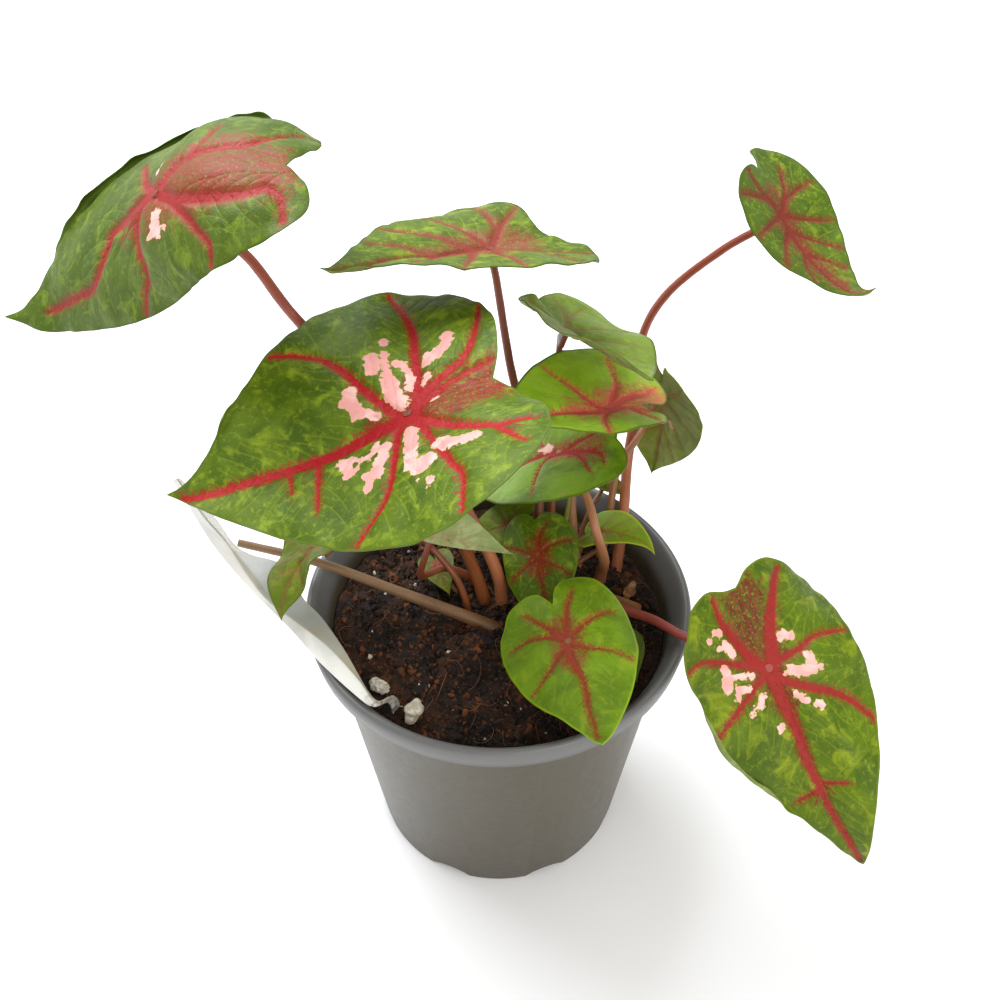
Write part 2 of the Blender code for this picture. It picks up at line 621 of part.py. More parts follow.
def stalk_hole(name, line, radii, cutters):
    """A straight-sided hole in the soil round the stalk's lowest stretch."""
    last = next((i for i, place in enumerate(line) if place[2] > HOLE_TOP), len(line) - 1)
    low = list(line[:last + 1])
    shares = [i / (len(line) - 1) for i in range(len(low))]
    wide = [radii[0] + (radii[1] - radii[0]) * share ** 0.7 + HOLE_CLEARANCE for share in shares]
    low[0] = low[0] - np.array((0.0, 0.0, MM))
    guide = tube(name, low, (1.0, 1.0), cutters)
    for point, radius in zip(guide.data.splines[0].points, wide):
        point.radius = radius
    depsgraph = bpy.context.evaluated_depsgraph_get()
    mesh = bpy.data.meshes.new_from_object(guide.evaluated_get(depsgraph))
    cage = bmesh.new()
    cage.from_mesh(mesh)
    bmesh.ops.remove_doubles(cage, verts=cage.verts, dist=0.00001)
    cage.to_mesh(mesh)
    cage.free()
    bpy.data.objects.remove(guide, do_unlink=True)
    hide_guide(add_object(name, mesh, cutters))


def make_stalk(name, leaf, parts, cutters):
    root_x, root_y = leaf["root"]
    root = (root_x, root_y, ROOT_HEIGHT / MM)
    points = [(root_x, root_y, COLLAR_HEIGHT / MM), *leaf["via"]]
    ends = []
    radii = [radius * MM for radius in leaf["radii"]]
    if "blade" in leaf:
        blade = leaf["blade"]
        up = blade_turn(blade) @ Vector((0.0, 0.0, 1.0))
        folds = (blade["fold_left"], blade["fold_right"])
        droop = max(0.0, -min(folds))
        if leaf.get("underside_out"):
            up = -up
            droop = max(0.0, *folds)
        below = STALK_END + radii[1] * math.tan(math.radians(droop))
        neck = leaf.get("neck", STALK_NECK / MM)
        points.append(tuple(Vector(blade["at"]) - up * neck))
        ends.append(tuple(Vector(blade["at"]) - up * (below / MM)))
    line = np.vstack([[root], even_line(points, STALK_STEP / MM), *[[end] for end in ends]]) * MM
    mat = material("stalk_" + name, leaf["colour"], 0.45)
    tube(name, line, radii, parts, mat)
    stalk_hole(name + "_hole", line, radii, cutters)


def make_label(parts, cutters):
    """A creased strip, and the same strip thicker as the soil's cutter."""
    count = len(LABEL_CREASE)
    lines = [[Vector(p) * MM for p in line] for line in (LABEL_OUTER, LABEL_CREASE, LABEL_INNER)]
    faces = []
    for band in range(2):
        for i in range(count - 1):
            a = band * count + i
            faces.append((a, a + 1, a + 1 + count))
            faces.append((a, a + 1 + count, a + count))
    mat = material("label_plastic", (0.78, 0.76, 0.68), 0.4)
    for name, depth, home in (("plant_label", LABEL_THICKNESS, parts),
                              ("label_slot", LABEL_THICKNESS + 2.0 * GAP, cutters)):
        grow = 0.0 if home is parts else 1.5 * GAP
        outer, crease, inner = lines
        wide_outer = [a + (a - b).normalized() * grow for a, b in zip(outer, crease)]
        wide_inner = [a + (a - b).normalized() * grow for a, b in zip(inner, crease)]
        mesh = bpy.data.meshes.new(name)
        mesh.from_pydata(wide_outer + crease + wide_inner, [], faces)
        made = add_object(name, mesh, home, mat)
        thick = made.modifiers.new("thickness", "SOLIDIFY")
        thick.thickness = depth
        thick.offset = 0.0
        if home is cutters:
            for vertex in mesh.vertices:
                if vertex.co.z < 80 * MM:
                    vertex.co.z -= 2.0 * GAP
            apply_modifiers(made)
            hide_guide(made)


def make_lump(name, lump, parts):
    """A rough ball pressed flat where it lies on the soil."""
    colour, roughness = LUMP_MATERIALS[lump["material"]]
    mesh = bpy.data.meshes.new(name)
    cage = bmesh.new()
    bmesh.ops.create_icosphere(cage, subdivisions=2, radius=0.5)
    length, width, height = [side * MM for side in lump["size"]]
    turn = Matrix.Rotation(math.radians(lump["turn"]), 3, "Z")
    x, y = [place * MM for place in lump["at"]]
    base = soil_height(x, y)
    for vertex in cage.verts:
        dent = 1.0 + 0.13 * math.sin(9.0 * vertex.co.x + 7.0 * vertex.co.z + lump["turn"])
        co = turn @ Vector((vertex.co.x * length, vertex.co.y * width, 0.0)) * dent
        co += Vector((x, y, base + (0.3 + vertex.co.z * dent) * height))
        co.z = max(co.z, soil_height(co.x, co.y) + LUMP_REST)
        vertex.co = co
    cage.to_mesh(mesh)
    cage.free()
    made = add_object(name, mesh, parts, material(lump["material"], colour, roughness))
    shade(made.data, 40.0)


def complete_blade(blade):
    return {**BLADE, **blade}


def main():
    clear_scene()
    parts = new_collection("caladium")
    soil_cutters = new_collection("soil_cutters")
    make_pot(parts)
    make_tuber(parts, soil_cutters)
    young = ("leaf_front", "leaf_front_inner", "leaf_inner_left", "leaf_inner_right",
             "leaf_turned_back", "leaf_low_left", "leaf_under_front")
    for name, leaf in LEAVES.items():
        leaf = {**leaf, "blade": complete_blade(leaf["blade"])}
        colour = YOUNG_GREEN if name in young else GREEN
        mat = material("blade_" + name, colour, 0.45)
        make_blade(name, leaf["blade"], parts, mat)
        make_stalk(name + "_stalk", leaf, parts, soil_cutters)
    for name, stalk in BARE_STALKS.items():
        make_stalk(name, stalk, parts, soil_cutters)
    for name, lump in LUMPS.items():
        make_lump(name, lump, parts)
    make_label(parts, soil_cutters)
    make_soil(parts, soil_cutters)


main()
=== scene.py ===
# %% [markdown]
# # A caladium in its nursery pot
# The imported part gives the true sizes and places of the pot, the soil, the stalks and the
# blades. This lesson dresses each of them. It starts with the frame, which stays as it is,
# and every piece made below stands exactly where its solid stands.

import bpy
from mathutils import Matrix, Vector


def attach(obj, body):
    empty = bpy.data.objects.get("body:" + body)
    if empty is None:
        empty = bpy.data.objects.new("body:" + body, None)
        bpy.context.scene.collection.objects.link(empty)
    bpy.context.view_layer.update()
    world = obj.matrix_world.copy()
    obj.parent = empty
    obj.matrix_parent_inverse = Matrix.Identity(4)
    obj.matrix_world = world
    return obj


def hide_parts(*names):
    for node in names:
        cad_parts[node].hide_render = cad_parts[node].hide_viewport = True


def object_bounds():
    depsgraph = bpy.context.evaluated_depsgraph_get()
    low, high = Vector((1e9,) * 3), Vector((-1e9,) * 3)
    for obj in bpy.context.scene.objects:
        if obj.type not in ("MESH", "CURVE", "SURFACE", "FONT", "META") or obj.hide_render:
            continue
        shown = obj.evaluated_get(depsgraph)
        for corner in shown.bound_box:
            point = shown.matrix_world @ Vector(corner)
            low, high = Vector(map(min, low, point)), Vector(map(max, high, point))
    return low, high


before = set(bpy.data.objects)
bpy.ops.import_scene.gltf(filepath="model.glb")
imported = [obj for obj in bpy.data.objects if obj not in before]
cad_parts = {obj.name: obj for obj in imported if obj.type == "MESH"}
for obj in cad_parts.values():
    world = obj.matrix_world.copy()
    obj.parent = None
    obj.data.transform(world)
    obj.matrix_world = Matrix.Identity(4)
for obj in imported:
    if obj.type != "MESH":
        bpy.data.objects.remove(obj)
cad_low, cad_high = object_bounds()
print("solids loaded:", len(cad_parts))

# %% Tools and small helpers
import math

import bmesh
import bpy
import numpy as np
from mathutils import Matrix, Vector, noise

MM = 0.001


def screen_colour(red, green, blue):
    """A colour read off a screen, 0 to 255, as the linear values that a shader takes."""
    values = []
    for value in (red, green, blue):
        share = value / 255.0
        values.append(share / 12.92 if share <= 0.04045 else ((share + 0.055) / 1.055) ** 2.4)
    return (*values, 1.0)


def add_object(name, data):
    made = bpy.data.objects.new(name, data)
    bpy.context.scene.collection.objects.link(made)
    return made


def settled_mesh(source):
    """The mesh that an object's modifiers make; the object itself goes."""
    depsgraph = bpy.context.evaluated_depsgraph_get()
    made = bpy.data.meshes.new_from_object(source.evaluated_get(depsgraph))
    bpy.data.objects.remove(source, do_unlink=True)
    return made


def seat(piece, slot, *nodes):
    """Every finished piece rides on the part's one body and stands for its solids."""
    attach(piece, "root")
    if nodes:
        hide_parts(*nodes)


# %% [markdown]
# ## Camera
# The photograph looks down on the plant from the front. The pot's ellipses give the angle:
# 43 degrees below level, from about 45 centimetres away, with a mild lens.

# %% The camera at the photograph's angle
CAMERA_PLACE = (0.47, -254.31, 373.59)
CAMERA_TILT = 47.18
LENS = 43.09
SENSOR_WIDTH = 36.0

camera = add_object("camera", bpy.data.cameras.new("camera"))
camera.location = [value * MM for value in CAMERA_PLACE]
camera.rotation_euler = (math.radians(CAMERA_TILT), 0.0, 0.0)
camera.data.lens = LENS
camera.data.sensor_width = SENSOR_WIDTH
bpy.context.scene.camera = camera
print("camera height in mm:", CAMERA_PLACE[2])

# %% [markdown]
# ## Light and floor
# The plant stands in soft daylight on a white ground with hardly a shadow. A pale world
# fills every side, one broad panel above and behind gives the satin lights on the leaves,
# and a weaker one in front keeps the pot from going dark.

# %% World, panels and floor
LIGHTS = {
    "sky_panel": dict(at=(-0.35, 0.45, 0.95), aim=(0.0, 0.0, 0.12), size=0.9, power=16.0,
                      colour=(0.93, 0.96, 1.0)),
    "front_panel": dict(at=(0.45, -0.75, 0.55), aim=(0.0, 0.0, 0.1), size=0.8, power=5.0,
                        colour=(1.0, 0.97, 0.93)),
}
WORLD_STRENGTH = 0.75
FLOOR_COLOUR = (0.93, 0.93, 0.93, 1.0)
FLOOR_HALF = 4.0
FLOOR_LEVEL = -0.0003
FLOOR_ROUGHNESS = 0.9


def add_light(name, at, aim, size, power, colour):
    data = bpy.data.lights.new(name, "AREA")
    data.shape = "DISK"
    data.size = size
    data.energy = power
    data.color = colour
    lamp = add_object(name, data)
    lamp.location = at
    lamp.rotation_euler = (Vector(aim) - Vector(at)).to_track_quat("-Z", "Y").to_euler()


for light_name, light in LIGHTS.items():
    add_light(light_name, **light)
world = bpy.data.worlds.new("pale_world")
world.use_nodes = True
background = world.node_tree.nodes["Background"].inputs
background["Color"].default_value = (1.0, 1.0, 1.0, 1.0)
background["Strength"].default_value = WORLD_STRENGTH
bpy.context.scene.world = world
bpy.context.scene.view_settings.view_transform = "Standard"

floor_mesh = bpy.data.meshes.new("floor")
floor_mesh.from_pydata([(x * FLOOR_HALF, y * FLOOR_HALF, FLOOR_LEVEL)
                        for x, y in ((-1, -1), (1, -1), (1, 1), (-1, 1))], [], [(0, 1, 2, 3)])
floor = add_object("floor", floor_mesh)
floor_finish = bpy.data.materials.new("floor_white")
floor_finish.use_nodes = True
floor_shader = floor_finish.node_tree.nodes["Principled BSDF"].inputs
floor_shader["Base Color"].default_value = FLOOR_COLOUR
floor_shader["Roughness"].default_value = FLOOR_ROUGHNESS
floor_mesh.materials.append(floor_finish)
print("lights:", *LIGHTS)

# %% [markdown]
# ## Node helpers
# Shader trees are long when every node and link is typed out. One helper adds a node, sets
# its values and links what it is given, and another does one step of arithmetic.

# %% Helpers for shader and geometry trees
def add_node(tree, kind, inputs=None, **settings):
    made = tree.nodes.new(kind)
    for key, value in settings.items():
        setattr(made, key, value)
    for key, value in (inputs or {}).items():
        if isinstance(value, bpy.types.NodeSocket):
            tree.links.new(value, made.inputs[key])
        else:
            made.inputs[key].default_value = value
    return made


def calc(tree, operation, *values):
    made = add_node(tree, "ShaderNodeMath", dict(enumerate(values)), operation=operation)
    return made.outputs[0]


def times(tree, first, second):
    return calc(tree, "MULTIPLY", first, second)


def ramp(tree, value, low, high, to_low=0.0, to_high=1.0):
    """A smooth step: to_low below low, to_high above high."""
    made = add_node(tree, "ShaderNodeMapRange", {0: value, 1: low, 2: high, 3: to_low,
                                                 4: to_high}, interpolation_type="SMOOTHSTEP")
    return made.outputs[0]


def mix_colours(tree, share, first, second, blend="MIX"):
    made = add_node(tree, "ShaderNodeMix", {0: share, 6: first, 7: second}, data_type="RGBA",
                    blend_type=blend)
    return made.outputs[2]


def grain(tree, vector, scale, detail=2.0, rough=0.5, distortion=0.0):
    made = add_node(tree, "ShaderNodeTexNoise", {"Vector": vector, "Scale": scale,
                                                 "Detail": detail, "Roughness": rough,
                                                 "Distortion": distortion})
    return made.outputs["Fac"]


def field(tree, label):
    """A number that the mesh stores at each of its points."""
    return add_node(tree, "ShaderNodeAttribute", attribute_name=label).outputs["Fac"]


def object_place(tree):
    return add_node(tree, "ShaderNodeTexCoord").outputs["Object"]


def shifted(tree, vector, offset):
    made = add_node(tree, "ShaderNodeVectorMath", {0: vector, 1: offset}, operation="ADD")
    return made.outputs[0]


def new_group(name, inputs, outputs, kind="ShaderNodeTree"):
    """An empty node group with named sockets: (name, type, default) in, (name, type) out."""
    tree = bpy.data.node_groups.new(name, kind)
    for label, kind, default in inputs:
        made = tree.interface.new_socket(label, in_out="INPUT", socket_type="NodeSocket" + kind)
        if default is not None:
            made.default_value = default
    for label, kind in outputs:
        tree.interface.new_socket(label, in_out="OUTPUT", socket_type="NodeSocket" + kind)
    return tree, tree.nodes.new("NodeGroupInput").outputs, tree.nodes.new("NodeGroupOutput").inputs


def use_group(tree, group, **inputs):
    made = tree.nodes.new("ShaderNodeGroup")
    made.node_tree = group
    for key, value in inputs.items():
        socket = made.inputs[key.replace("_", " ").capitalize()]
        if isinstance(value, bpy.types.NodeSocket):
            tree.links.new(value, socket)
        else:
            socket.default_value = value
    return made.outputs


def new_material(name):
    made = bpy.data.materials.new(name)
    made.use_nodes = True
    return made, made.node_tree, made.node_tree.nodes["Principled BSDF"].inputs


def wire_finish(tree, shader, colour, rough, height=None, depth=0.0):
    """Link a material's colour and roughness, and a relief as deep as given in metres."""
    tree.links.new(colour, shader["Base Color"])
    if isinstance(rough, float):
        shader["Roughness"].default_value = rough
    else:
        tree.links.new(rough, shader["Roughness"])
    if depth:
        bump = add_node(tree, "ShaderNodeBump", {"Height": height, "Distance": depth})
        tree.links.new(bump.outputs["Normal"], shader["Normal"])


# %% [markdown]
# ## Ragged edges and mottling
# Nothing on a leaf has a ruled edge: veins bleed into the green in specks, pink blotches
# are lobed like coral, and the green itself is clouded. Two groups give those effects.
# One takes any field that is positive inside a marking and breaks up its edge with noise,
# the other clouds a surface at two scales.

# %% The shared groups
ragged, r_in, r_out = new_group(
    "ragged_edge",
    (("Vector", "Vector", None), ("Field", "Float", 0.0), ("Scale", "Float", 10.0),
     ("Raggedness", "Float", 0.5), ("Softness", "Float", 0.1)), (("Mask", "Float"),))
rough_noise = grain(ragged, r_in["Vector"], r_in["Scale"], 3.0, 0.6)
centred = calc(ragged, "SUBTRACT", rough_noise, 0.5)
broken = calc(ragged, "MULTIPLY_ADD", centred, r_in["Raggedness"], r_in["Field"])
falling = times(ragged, r_in["Softness"], -1.0)
ragged.links.new(ramp(ragged, broken, falling, r_in["Softness"]), r_out["Mask"])

clouded, c_in, c_out = new_group(
    "clouded",
    (("Vector", "Vector", None), ("Scale", "Float", 1.0), ("Low", "Float", 0.4),
     ("High", "Float", 0.6)), (("Mask", "Float"), ("Fine", "Float")))
coarse = grain(clouded, c_in["Vector"], c_in["Scale"], 4.0, 0.55, 0.8)
fine_scale = times(clouded, c_in["Scale"], 9.0)
clouded.links.new(ramp(clouded, coarse, c_in["Low"], c_in["High"]), c_out["Mask"])
clouded.links.new(grain(clouded, c_in["Vector"], fine_scale, 3.0, 0.6), c_out["Fine"])
print("shared groups:", ragged.name, clouded.name)


def cloudy_finish(name, first, second, scale, high, rough, depth=0.0):
    """A finish clouded between two colours, pitted when it has a depth."""
    made, tree, shader = new_material(name)
    cloud = use_group(tree, clouded, vector=object_place(tree), scale=scale, low=0.4, high=high)
    wire_finish(tree, shader, mix_colours(tree, cloud["Mask"], first, second), rough,
                cloud["Fine"], depth)
    return made

# %% [markdown]
# ## The shape of a blade
# A caladium blade is a sheet that hangs from the point where its stalk meets it. It has a
# long lobe towards the tip and two short ones behind. The part bends a flat outline by a
# formula: a spine that turns as it goes out, and an arch to each side. Here the same
# formula runs on a far finer net, so veins can sink in and the face can swell between them.

# %% What each leaf measures, in millimetres and degrees
# Half of a flat blade: first number along the midrib, as a share of the blade's length
# before the stalk and of the lobe's length behind it; second as a share of the half width
HALF_OUTLINE = (
    (1.00, 0.00), (0.93, 0.05), (0.80, 0.20), (0.60, 0.46), (0.35, 0.75), (0.10, 0.94),
    (-0.25, 1.00), (-0.62, 0.93), (-0.90, 0.70), (-1.00, 0.42), (-0.93, 0.16),
)

# What every blade has unless its own entry says otherwise. Lengths in mm, angles in degrees:
# heading and pitch of the tip, roll, bend along the midrib, curl of the tip, bends of the
# left and right lobe, fold at the midrib and arch of each side, twist and sweep of the tip
BLADE = dict(
    width=0.52, width_left=1.0, width_right=1.0, lobe=0.50, lobe_left=1.0, lobe_right=1.0,
    sinus=0.33, roll=0, bend=-20, curl=0, lobe_bend_left=-10, lobe_bend_right=-10,
    fold_left=8, fold_right=8, arch_left=-20, arch_right=-20, twist=0, sweep=0,
    wave=0.0, waves=5,
)

# Each leaf: its blade, then its stalk as (x, y) in the soil, points on the way up,
# radius at the root and radius under the blade. The blade hangs from the point named at.
# A blade with its underside out has its stalk on the other face of the formula's sheet
LEAVES = {
    "leaf_far_left": dict(
        blade=dict(at=(-84, 11, 230), length=76, width=0.51, width_left=0.75, width_right=1.23,
                   lobe=0.48, lobe_left=1.30, lobe_right=1.14, sinus=0.50, heading=167,
                   pitch=-45, roll=-2, bend=-2, curl=41, lobe_bend_left=-53,
                   lobe_bend_right=-56, fold_left=-20, fold_right=19, arch_left=-72,
                   arch_right=-43, twist=-32, sweep=-7),
        root=(1, 6), via=((0, 7, 98), (-8, 12, 118), (-22, 18, 143), (-54, 22, 183),
                          (-67, 20, 208)),
        radii=(2.2, 1.3), tint="pink"),
    "leaf_front_left": dict(
        blade=dict(at=(-23, -18, 185), length=64, width=0.66, width_left=1.09, width_right=1.22,
                   lobe=0.47, sinus=0.37, heading=196, pitch=-21, roll=3, bend=12, curl=20,
                   lobe_bend_left=-33, lobe_bend_right=3, fold_left=5, fold_right=16,
                   arch_left=-9, arch_right=-18, twist=-32),
        root=(-4, 8.5), via=((-7, 8, 98), (-14, 5, 125), (-20, -3, 155)),
        radii=(2.3, 1.3), tint="brown"),
    "leaf_back": dict(
        blade=dict(at=(-2, 44, 195), length=56, width=0.54, width_right=1.07, lobe=0.43,
                   lobe_left=1.03, lobe_right=0.87, sinus=0.37, heading=215, pitch=12, roll=1,
                   bend=2, lobe_bend_left=-6, lobe_bend_right=17, fold_left=18,
                   fold_right=13, arch_left=-7, arch_right=-37, twist=3, sweep=3, wave=0.6),
        root=(11, 15), via=((13, 29, 100), (13, 48, 122), (5, 49, 143), (-1, 50, 183)),
        radii=(2.0, 1.1), tint="brown"),
    "leaf_far_right": dict(
        blade=dict(at=(79, 44, 205), length=37, width=0.52, width_left=1.07, width_right=0.94,
                   lobe=0.53, lobe_left=1.17, lobe_right=0.78, sinus=0.41, heading=-61,
                   pitch=-38, roll=-27, bend=44, curl=46, lobe_bend_left=-18,
                   lobe_bend_right=6, fold_left=13, fold_right=3, arch_left=11,
                   arch_right=-16, twist=14),
        root=(38.5, 19.5), via=((41, 31, 101), (43, 47, 113), (45.5, 57, 129),
                                (46, 63, 150), (52, 60, 169), (65, 52, 189)),
        radii=(2.1, 1.1), tint="pink"),
    "leaf_upper_middle": dict(
        blade=dict(at=(20, 32, 175), length=41, width=0.56, width_left=1.09, lobe=0.39,
                   lobe_left=1.05, lobe_right=0.86, sinus=0.30, heading=-47, pitch=-1,
                   roll=-29, bend=12, curl=-10, lobe_bend_left=8, lobe_bend_right=26,
                   fold_left=15, fold_right=21, arch_left=-11, arch_right=-17, twist=7,
                   sweep=-31, wave=-1.1),
        root=(20, 19), via=((17.5, 30, 96), (18.5, 46, 122), (19, 54, 145), (19, 50, 160)),
        radii=(1.6, 0.9), tint="brown"),
    "leaf_middle_right": dict(
        blade=dict(at=(31.5, 19, 157), length=43.5, width=0.55, width_left=0.78,
                   width_right=1.04, lobe=0.53, lobe_left=0.62, lobe_right=1.06, sinus=0.30,
                   heading=207, pitch=11, roll=2, bend=20, curl=32, lobe_bend_left=-10,
                   lobe_bend_right=-23, fold_left=7, fold_right=17, arch_left=17,
                   arch_right=-5, twist=-10, sweep=18),
        root=(27, 20.5), via=((25.5, 28, 92), (24.5, 38, 102), (26.5, 46, 112),
                              (30, 51, 130), (31.5, 47, 144), (31.5, 33, 151)),
        radii=(1.7, 1.0), tint="tan"),
    "leaf_middle": dict(
        blade=dict(at=(18.4, 24.5, 136), length=45.5, width=0.54, width_left=0.98,
                   width_right=0.98, lobe=0.56, lobe_left=0.98, lobe_right=0.90, sinus=0.45,
                   heading=157, pitch=-34.5, roll=-5.5, bend=-37, lobe_bend_left=-27,
                   lobe_bend_right=2, fold_left=7, fold_right=5, arch_left=-16,
                   arch_right=-22, twist=-1, sweep=-9),
        root=(33, 16.5), via=((33.3, 15, 92), (33.2, 9, 104), (29.8, 6, 119), (27, 14, 126)),
        radii=(2.3, 1.1), tint="pink"),
    "leaf_behind_right": dict(
        blade=dict(at=(55, 62, 127), length=41.5, width=0.53, width_left=0.93, width_right=1.07,
                   lobe=0.48, sinus=0.26, heading=-118, pitch=-100, roll=16, bend=2,
                   lobe_bend_left=17, lobe_bend_right=-4, fold_left=19, fold_right=17,
                   arch_left=-14, arch_right=-20, twist=-10, sweep=-9),
        underside_out=True, root=(33, 23.5), via=((36.3, 31, 100), (39, 41, 113), (46, 48, 122)),
        radii=(1.6, 1.0), tint="tan"),
    "leaf_far_front_right": dict(
        blade=dict(at=(77, -37, 107), length=71, width=0.43, width_left=1.05, width_right=0.81,
                   lobe=0.43, lobe_left=1.03, lobe_right=0.88, sinus=0.35, heading=-63,
                   pitch=-35, roll=29, bend=-30, curl=-29, lobe_bend_left=-18,
                   lobe_bend_right=16, fold_left=-8, fold_right=27, arch_left=-48,
                   arch_right=-4, twist=32, sweep=4, wave=3.6),
        root=(28, 5), via=((34, -1, 93), (46, -11, 99), (57, -22, 102)),
        radii=(1.9, 1.2), tint="pink"),
    "leaf_front": dict(
        blade=dict(at=(20, -30, 111), length=44, width=0.48, lobe=0.53, sinus=0.35,
                   heading=-76, pitch=4, roll=15, bend=6, curl=31, lobe_bend_left=6,
                   lobe_bend_right=-5, fold_left=-6, fold_right=2, arch_left=-35,
                   arch_right=-37, twist=-5, sweep=-6, wave=-0.7),
        root=(11, -1), via=((13, -12, 88.5), (18, -27, 97)),
        radii=(1.6, 1.0), tint="tan"),
    "leaf_front_inner": dict(
        blade=dict(at=(12, 8, 108), length=28, width=0.56, width_left=0.9, width_right=0.88,
                   lobe=0.56, sinus=0.42, heading=-86, pitch=-20, roll=10, bend=-14,
                   lobe_bend_left=-15, lobe_bend_right=-7, fold_left=-10, fold_right=-12,
                   arch_left=-34,
                   arch_right=-42, twist=-4),
        root=(12.4, 6.1), via=((12.6, 7, 94),),
        radii=(1.5, 0.9), tint="tan"),
    "leaf_inner_left": dict(
        blade=dict(at=(3, 26, 103), length=21, width=0.47, lobe=0.50,
                   sinus=0.37, heading=178, pitch=-28, roll=-19, bend=-19, lobe_bend_left=-5,
                   arch_left=-23, arch_right=-22, sweep=-11),
        root=(6, 11), via=((6, 14, 92),),
        radii=(1.3, 0.8), tint="tan"),
    "leaf_turned_back": dict(
        blade=dict(at=(-18.5, -6, 130), length=24, width=0.5, width_right=0.25, lobe=0.3,
                   sinus=0.18, heading=-6, pitch=-16, roll=78, bend=-4, fold_left=6,
                   fold_right=14),
        root=(-5, 15), via=((-9.5, 14, 91), (-17, 12, 97), (-24, 5, 101), (-23, -2, 113)),
        radii=(1.5, 0.9), tint="brown"),
    "leaf_inner_right": dict(
        blade=dict(at=(31.8, 20, 105.2), length=22, width=0.53, width_right=0.65, lobe=0.28,
                   sinus=0.20, heading=-23, pitch=29, roll=-16, bend=-46, curl=-28,
                   lobe_bend_left=-7, fold_left=19, fold_right=0, arch_left=-12,
                   arch_right=-28, twist=6, sweep=-9),
        root=(21, 12), via=((22, 13, 94),),
        radii=(1.4, 0.8), tint="tan"),
    "leaf_over_rim": dict(
        blade=dict(at=(-55, 2, 118), length=26, width=0.53, lobe=0.52, sinus=0.21,
                   heading=227, pitch=-17, roll=32, bend=-37, curl=-5, lobe_bend_left=-12,
                   lobe_bend_right=-12, fold_left=7, fold_right=18, arch_left=6,
                   arch_right=-10, twist=-22, sweep=13, wave=-2.0),
        root=(-9, 4.5), via=((-14, 8, 98), (-28, 14, 112), (-44, 12, 117)),
        radii=(1.3, 0.8), tint="brown"),
    "leaf_behind_rim": dict(
        blade=dict(at=(36.5, 46, 104), length=10, width=0.6, heading=-20, pitch=-20,
                   roll=-10),
        neck=3, root=(27, 27), via=((28, 33, 92), (31, 39, 98), (34, 43.5, 100)),
        radii=(1.2, 0.8), tint="tan"),
    "leaf_under_front": dict(
        blade=dict(at=(38, -16, 92), length=13, width=0.55, heading=-74, pitch=-2, roll=4,
                   arch_left=-30, arch_right=-30),
        neck=3, root=(19, -1), via=((22, -4, 90), (33, -14, 89.5)),
        radii=(1.2, 0.8), tint="tan"),
    "leaf_low_left": dict(
        blade=dict(at=(-20, 18, 92), length=12, width=0.5, sinus=0.2, heading=-70, pitch=-4,
                   roll=12, fold_left=14, fold_right=14, arch_left=-10, arch_right=-10),
        neck=3, root=(-12, 11), via=((-15, 13, 87),),
        radii=(1.0, 0.7), tint="tan"),
}
print("leaves:", len(LEAVES))

# %% The formula that bends a flat blade
def smooth_line(points, count):
    """Points on a Catmull-Rom curve through the given ones, evenly spread in parameter."""
    knots = np.array(points, float)
    first = 2.0 * knots[0] - knots[1]
    last = 2.0 * knots[-1] - knots[-2]
    knots = np.vstack([first, knots, last])
    spans = len(knots) - 3
    line = []
    for k in range(count):
        place = k / (count - 1) * spans
        i = min(int(place), spans - 1)
        u = place - i
        a, b, c, d = knots[i:i + 4]
        line.append(0.5 * (2.0 * b + (c - a) * u + (2.0 * a - 5.0 * b + 4.0 * c - d) * u ** 2
                           + (3.0 * b - a - 3.0 * c + d) * u ** 3))
    return np.array(line)


def even_line(points, step):
    """The same curve with its points about one step apart."""
    fine = smooth_line(points, 24 * len(points))
    lengths = np.concatenate([[0.0], np.cumsum(np.linalg.norm(np.diff(fine, axis=0), axis=1))])
    count = max(4, int(round(lengths[-1] / step)) + 1)
    wanted = np.linspace(0.0, lengths[-1], count)
    return np.stack([np.interp(wanted, lengths, fine[:, k]) for k in range(3)], axis=1)


def flat_outline(blade):
    """The blade's edge in its own plane, from the tip round by the left to the right."""
    length = blade["length"]
    halves = []
    for side, mirror in (("left", 1.0), ("right", -1.0)):
        lobe = blade["lobe"] * blade["lobe_" + side] * length
        half_width = blade["width"] * blade["width_" + side] * length
        points = [(x * (length if x > 0 else lobe), y * half_width) for x, y in HALF_OUTLINE]
        points.append((-blade["sinus"] * length, 0.0))
        half = smooth_line(points, blade["around"] // 2 + 1)
        half[:, 1] *= mirror
        halves.append(half)
    return np.vstack([halves[0], halves[1][::-1][1:-1]])


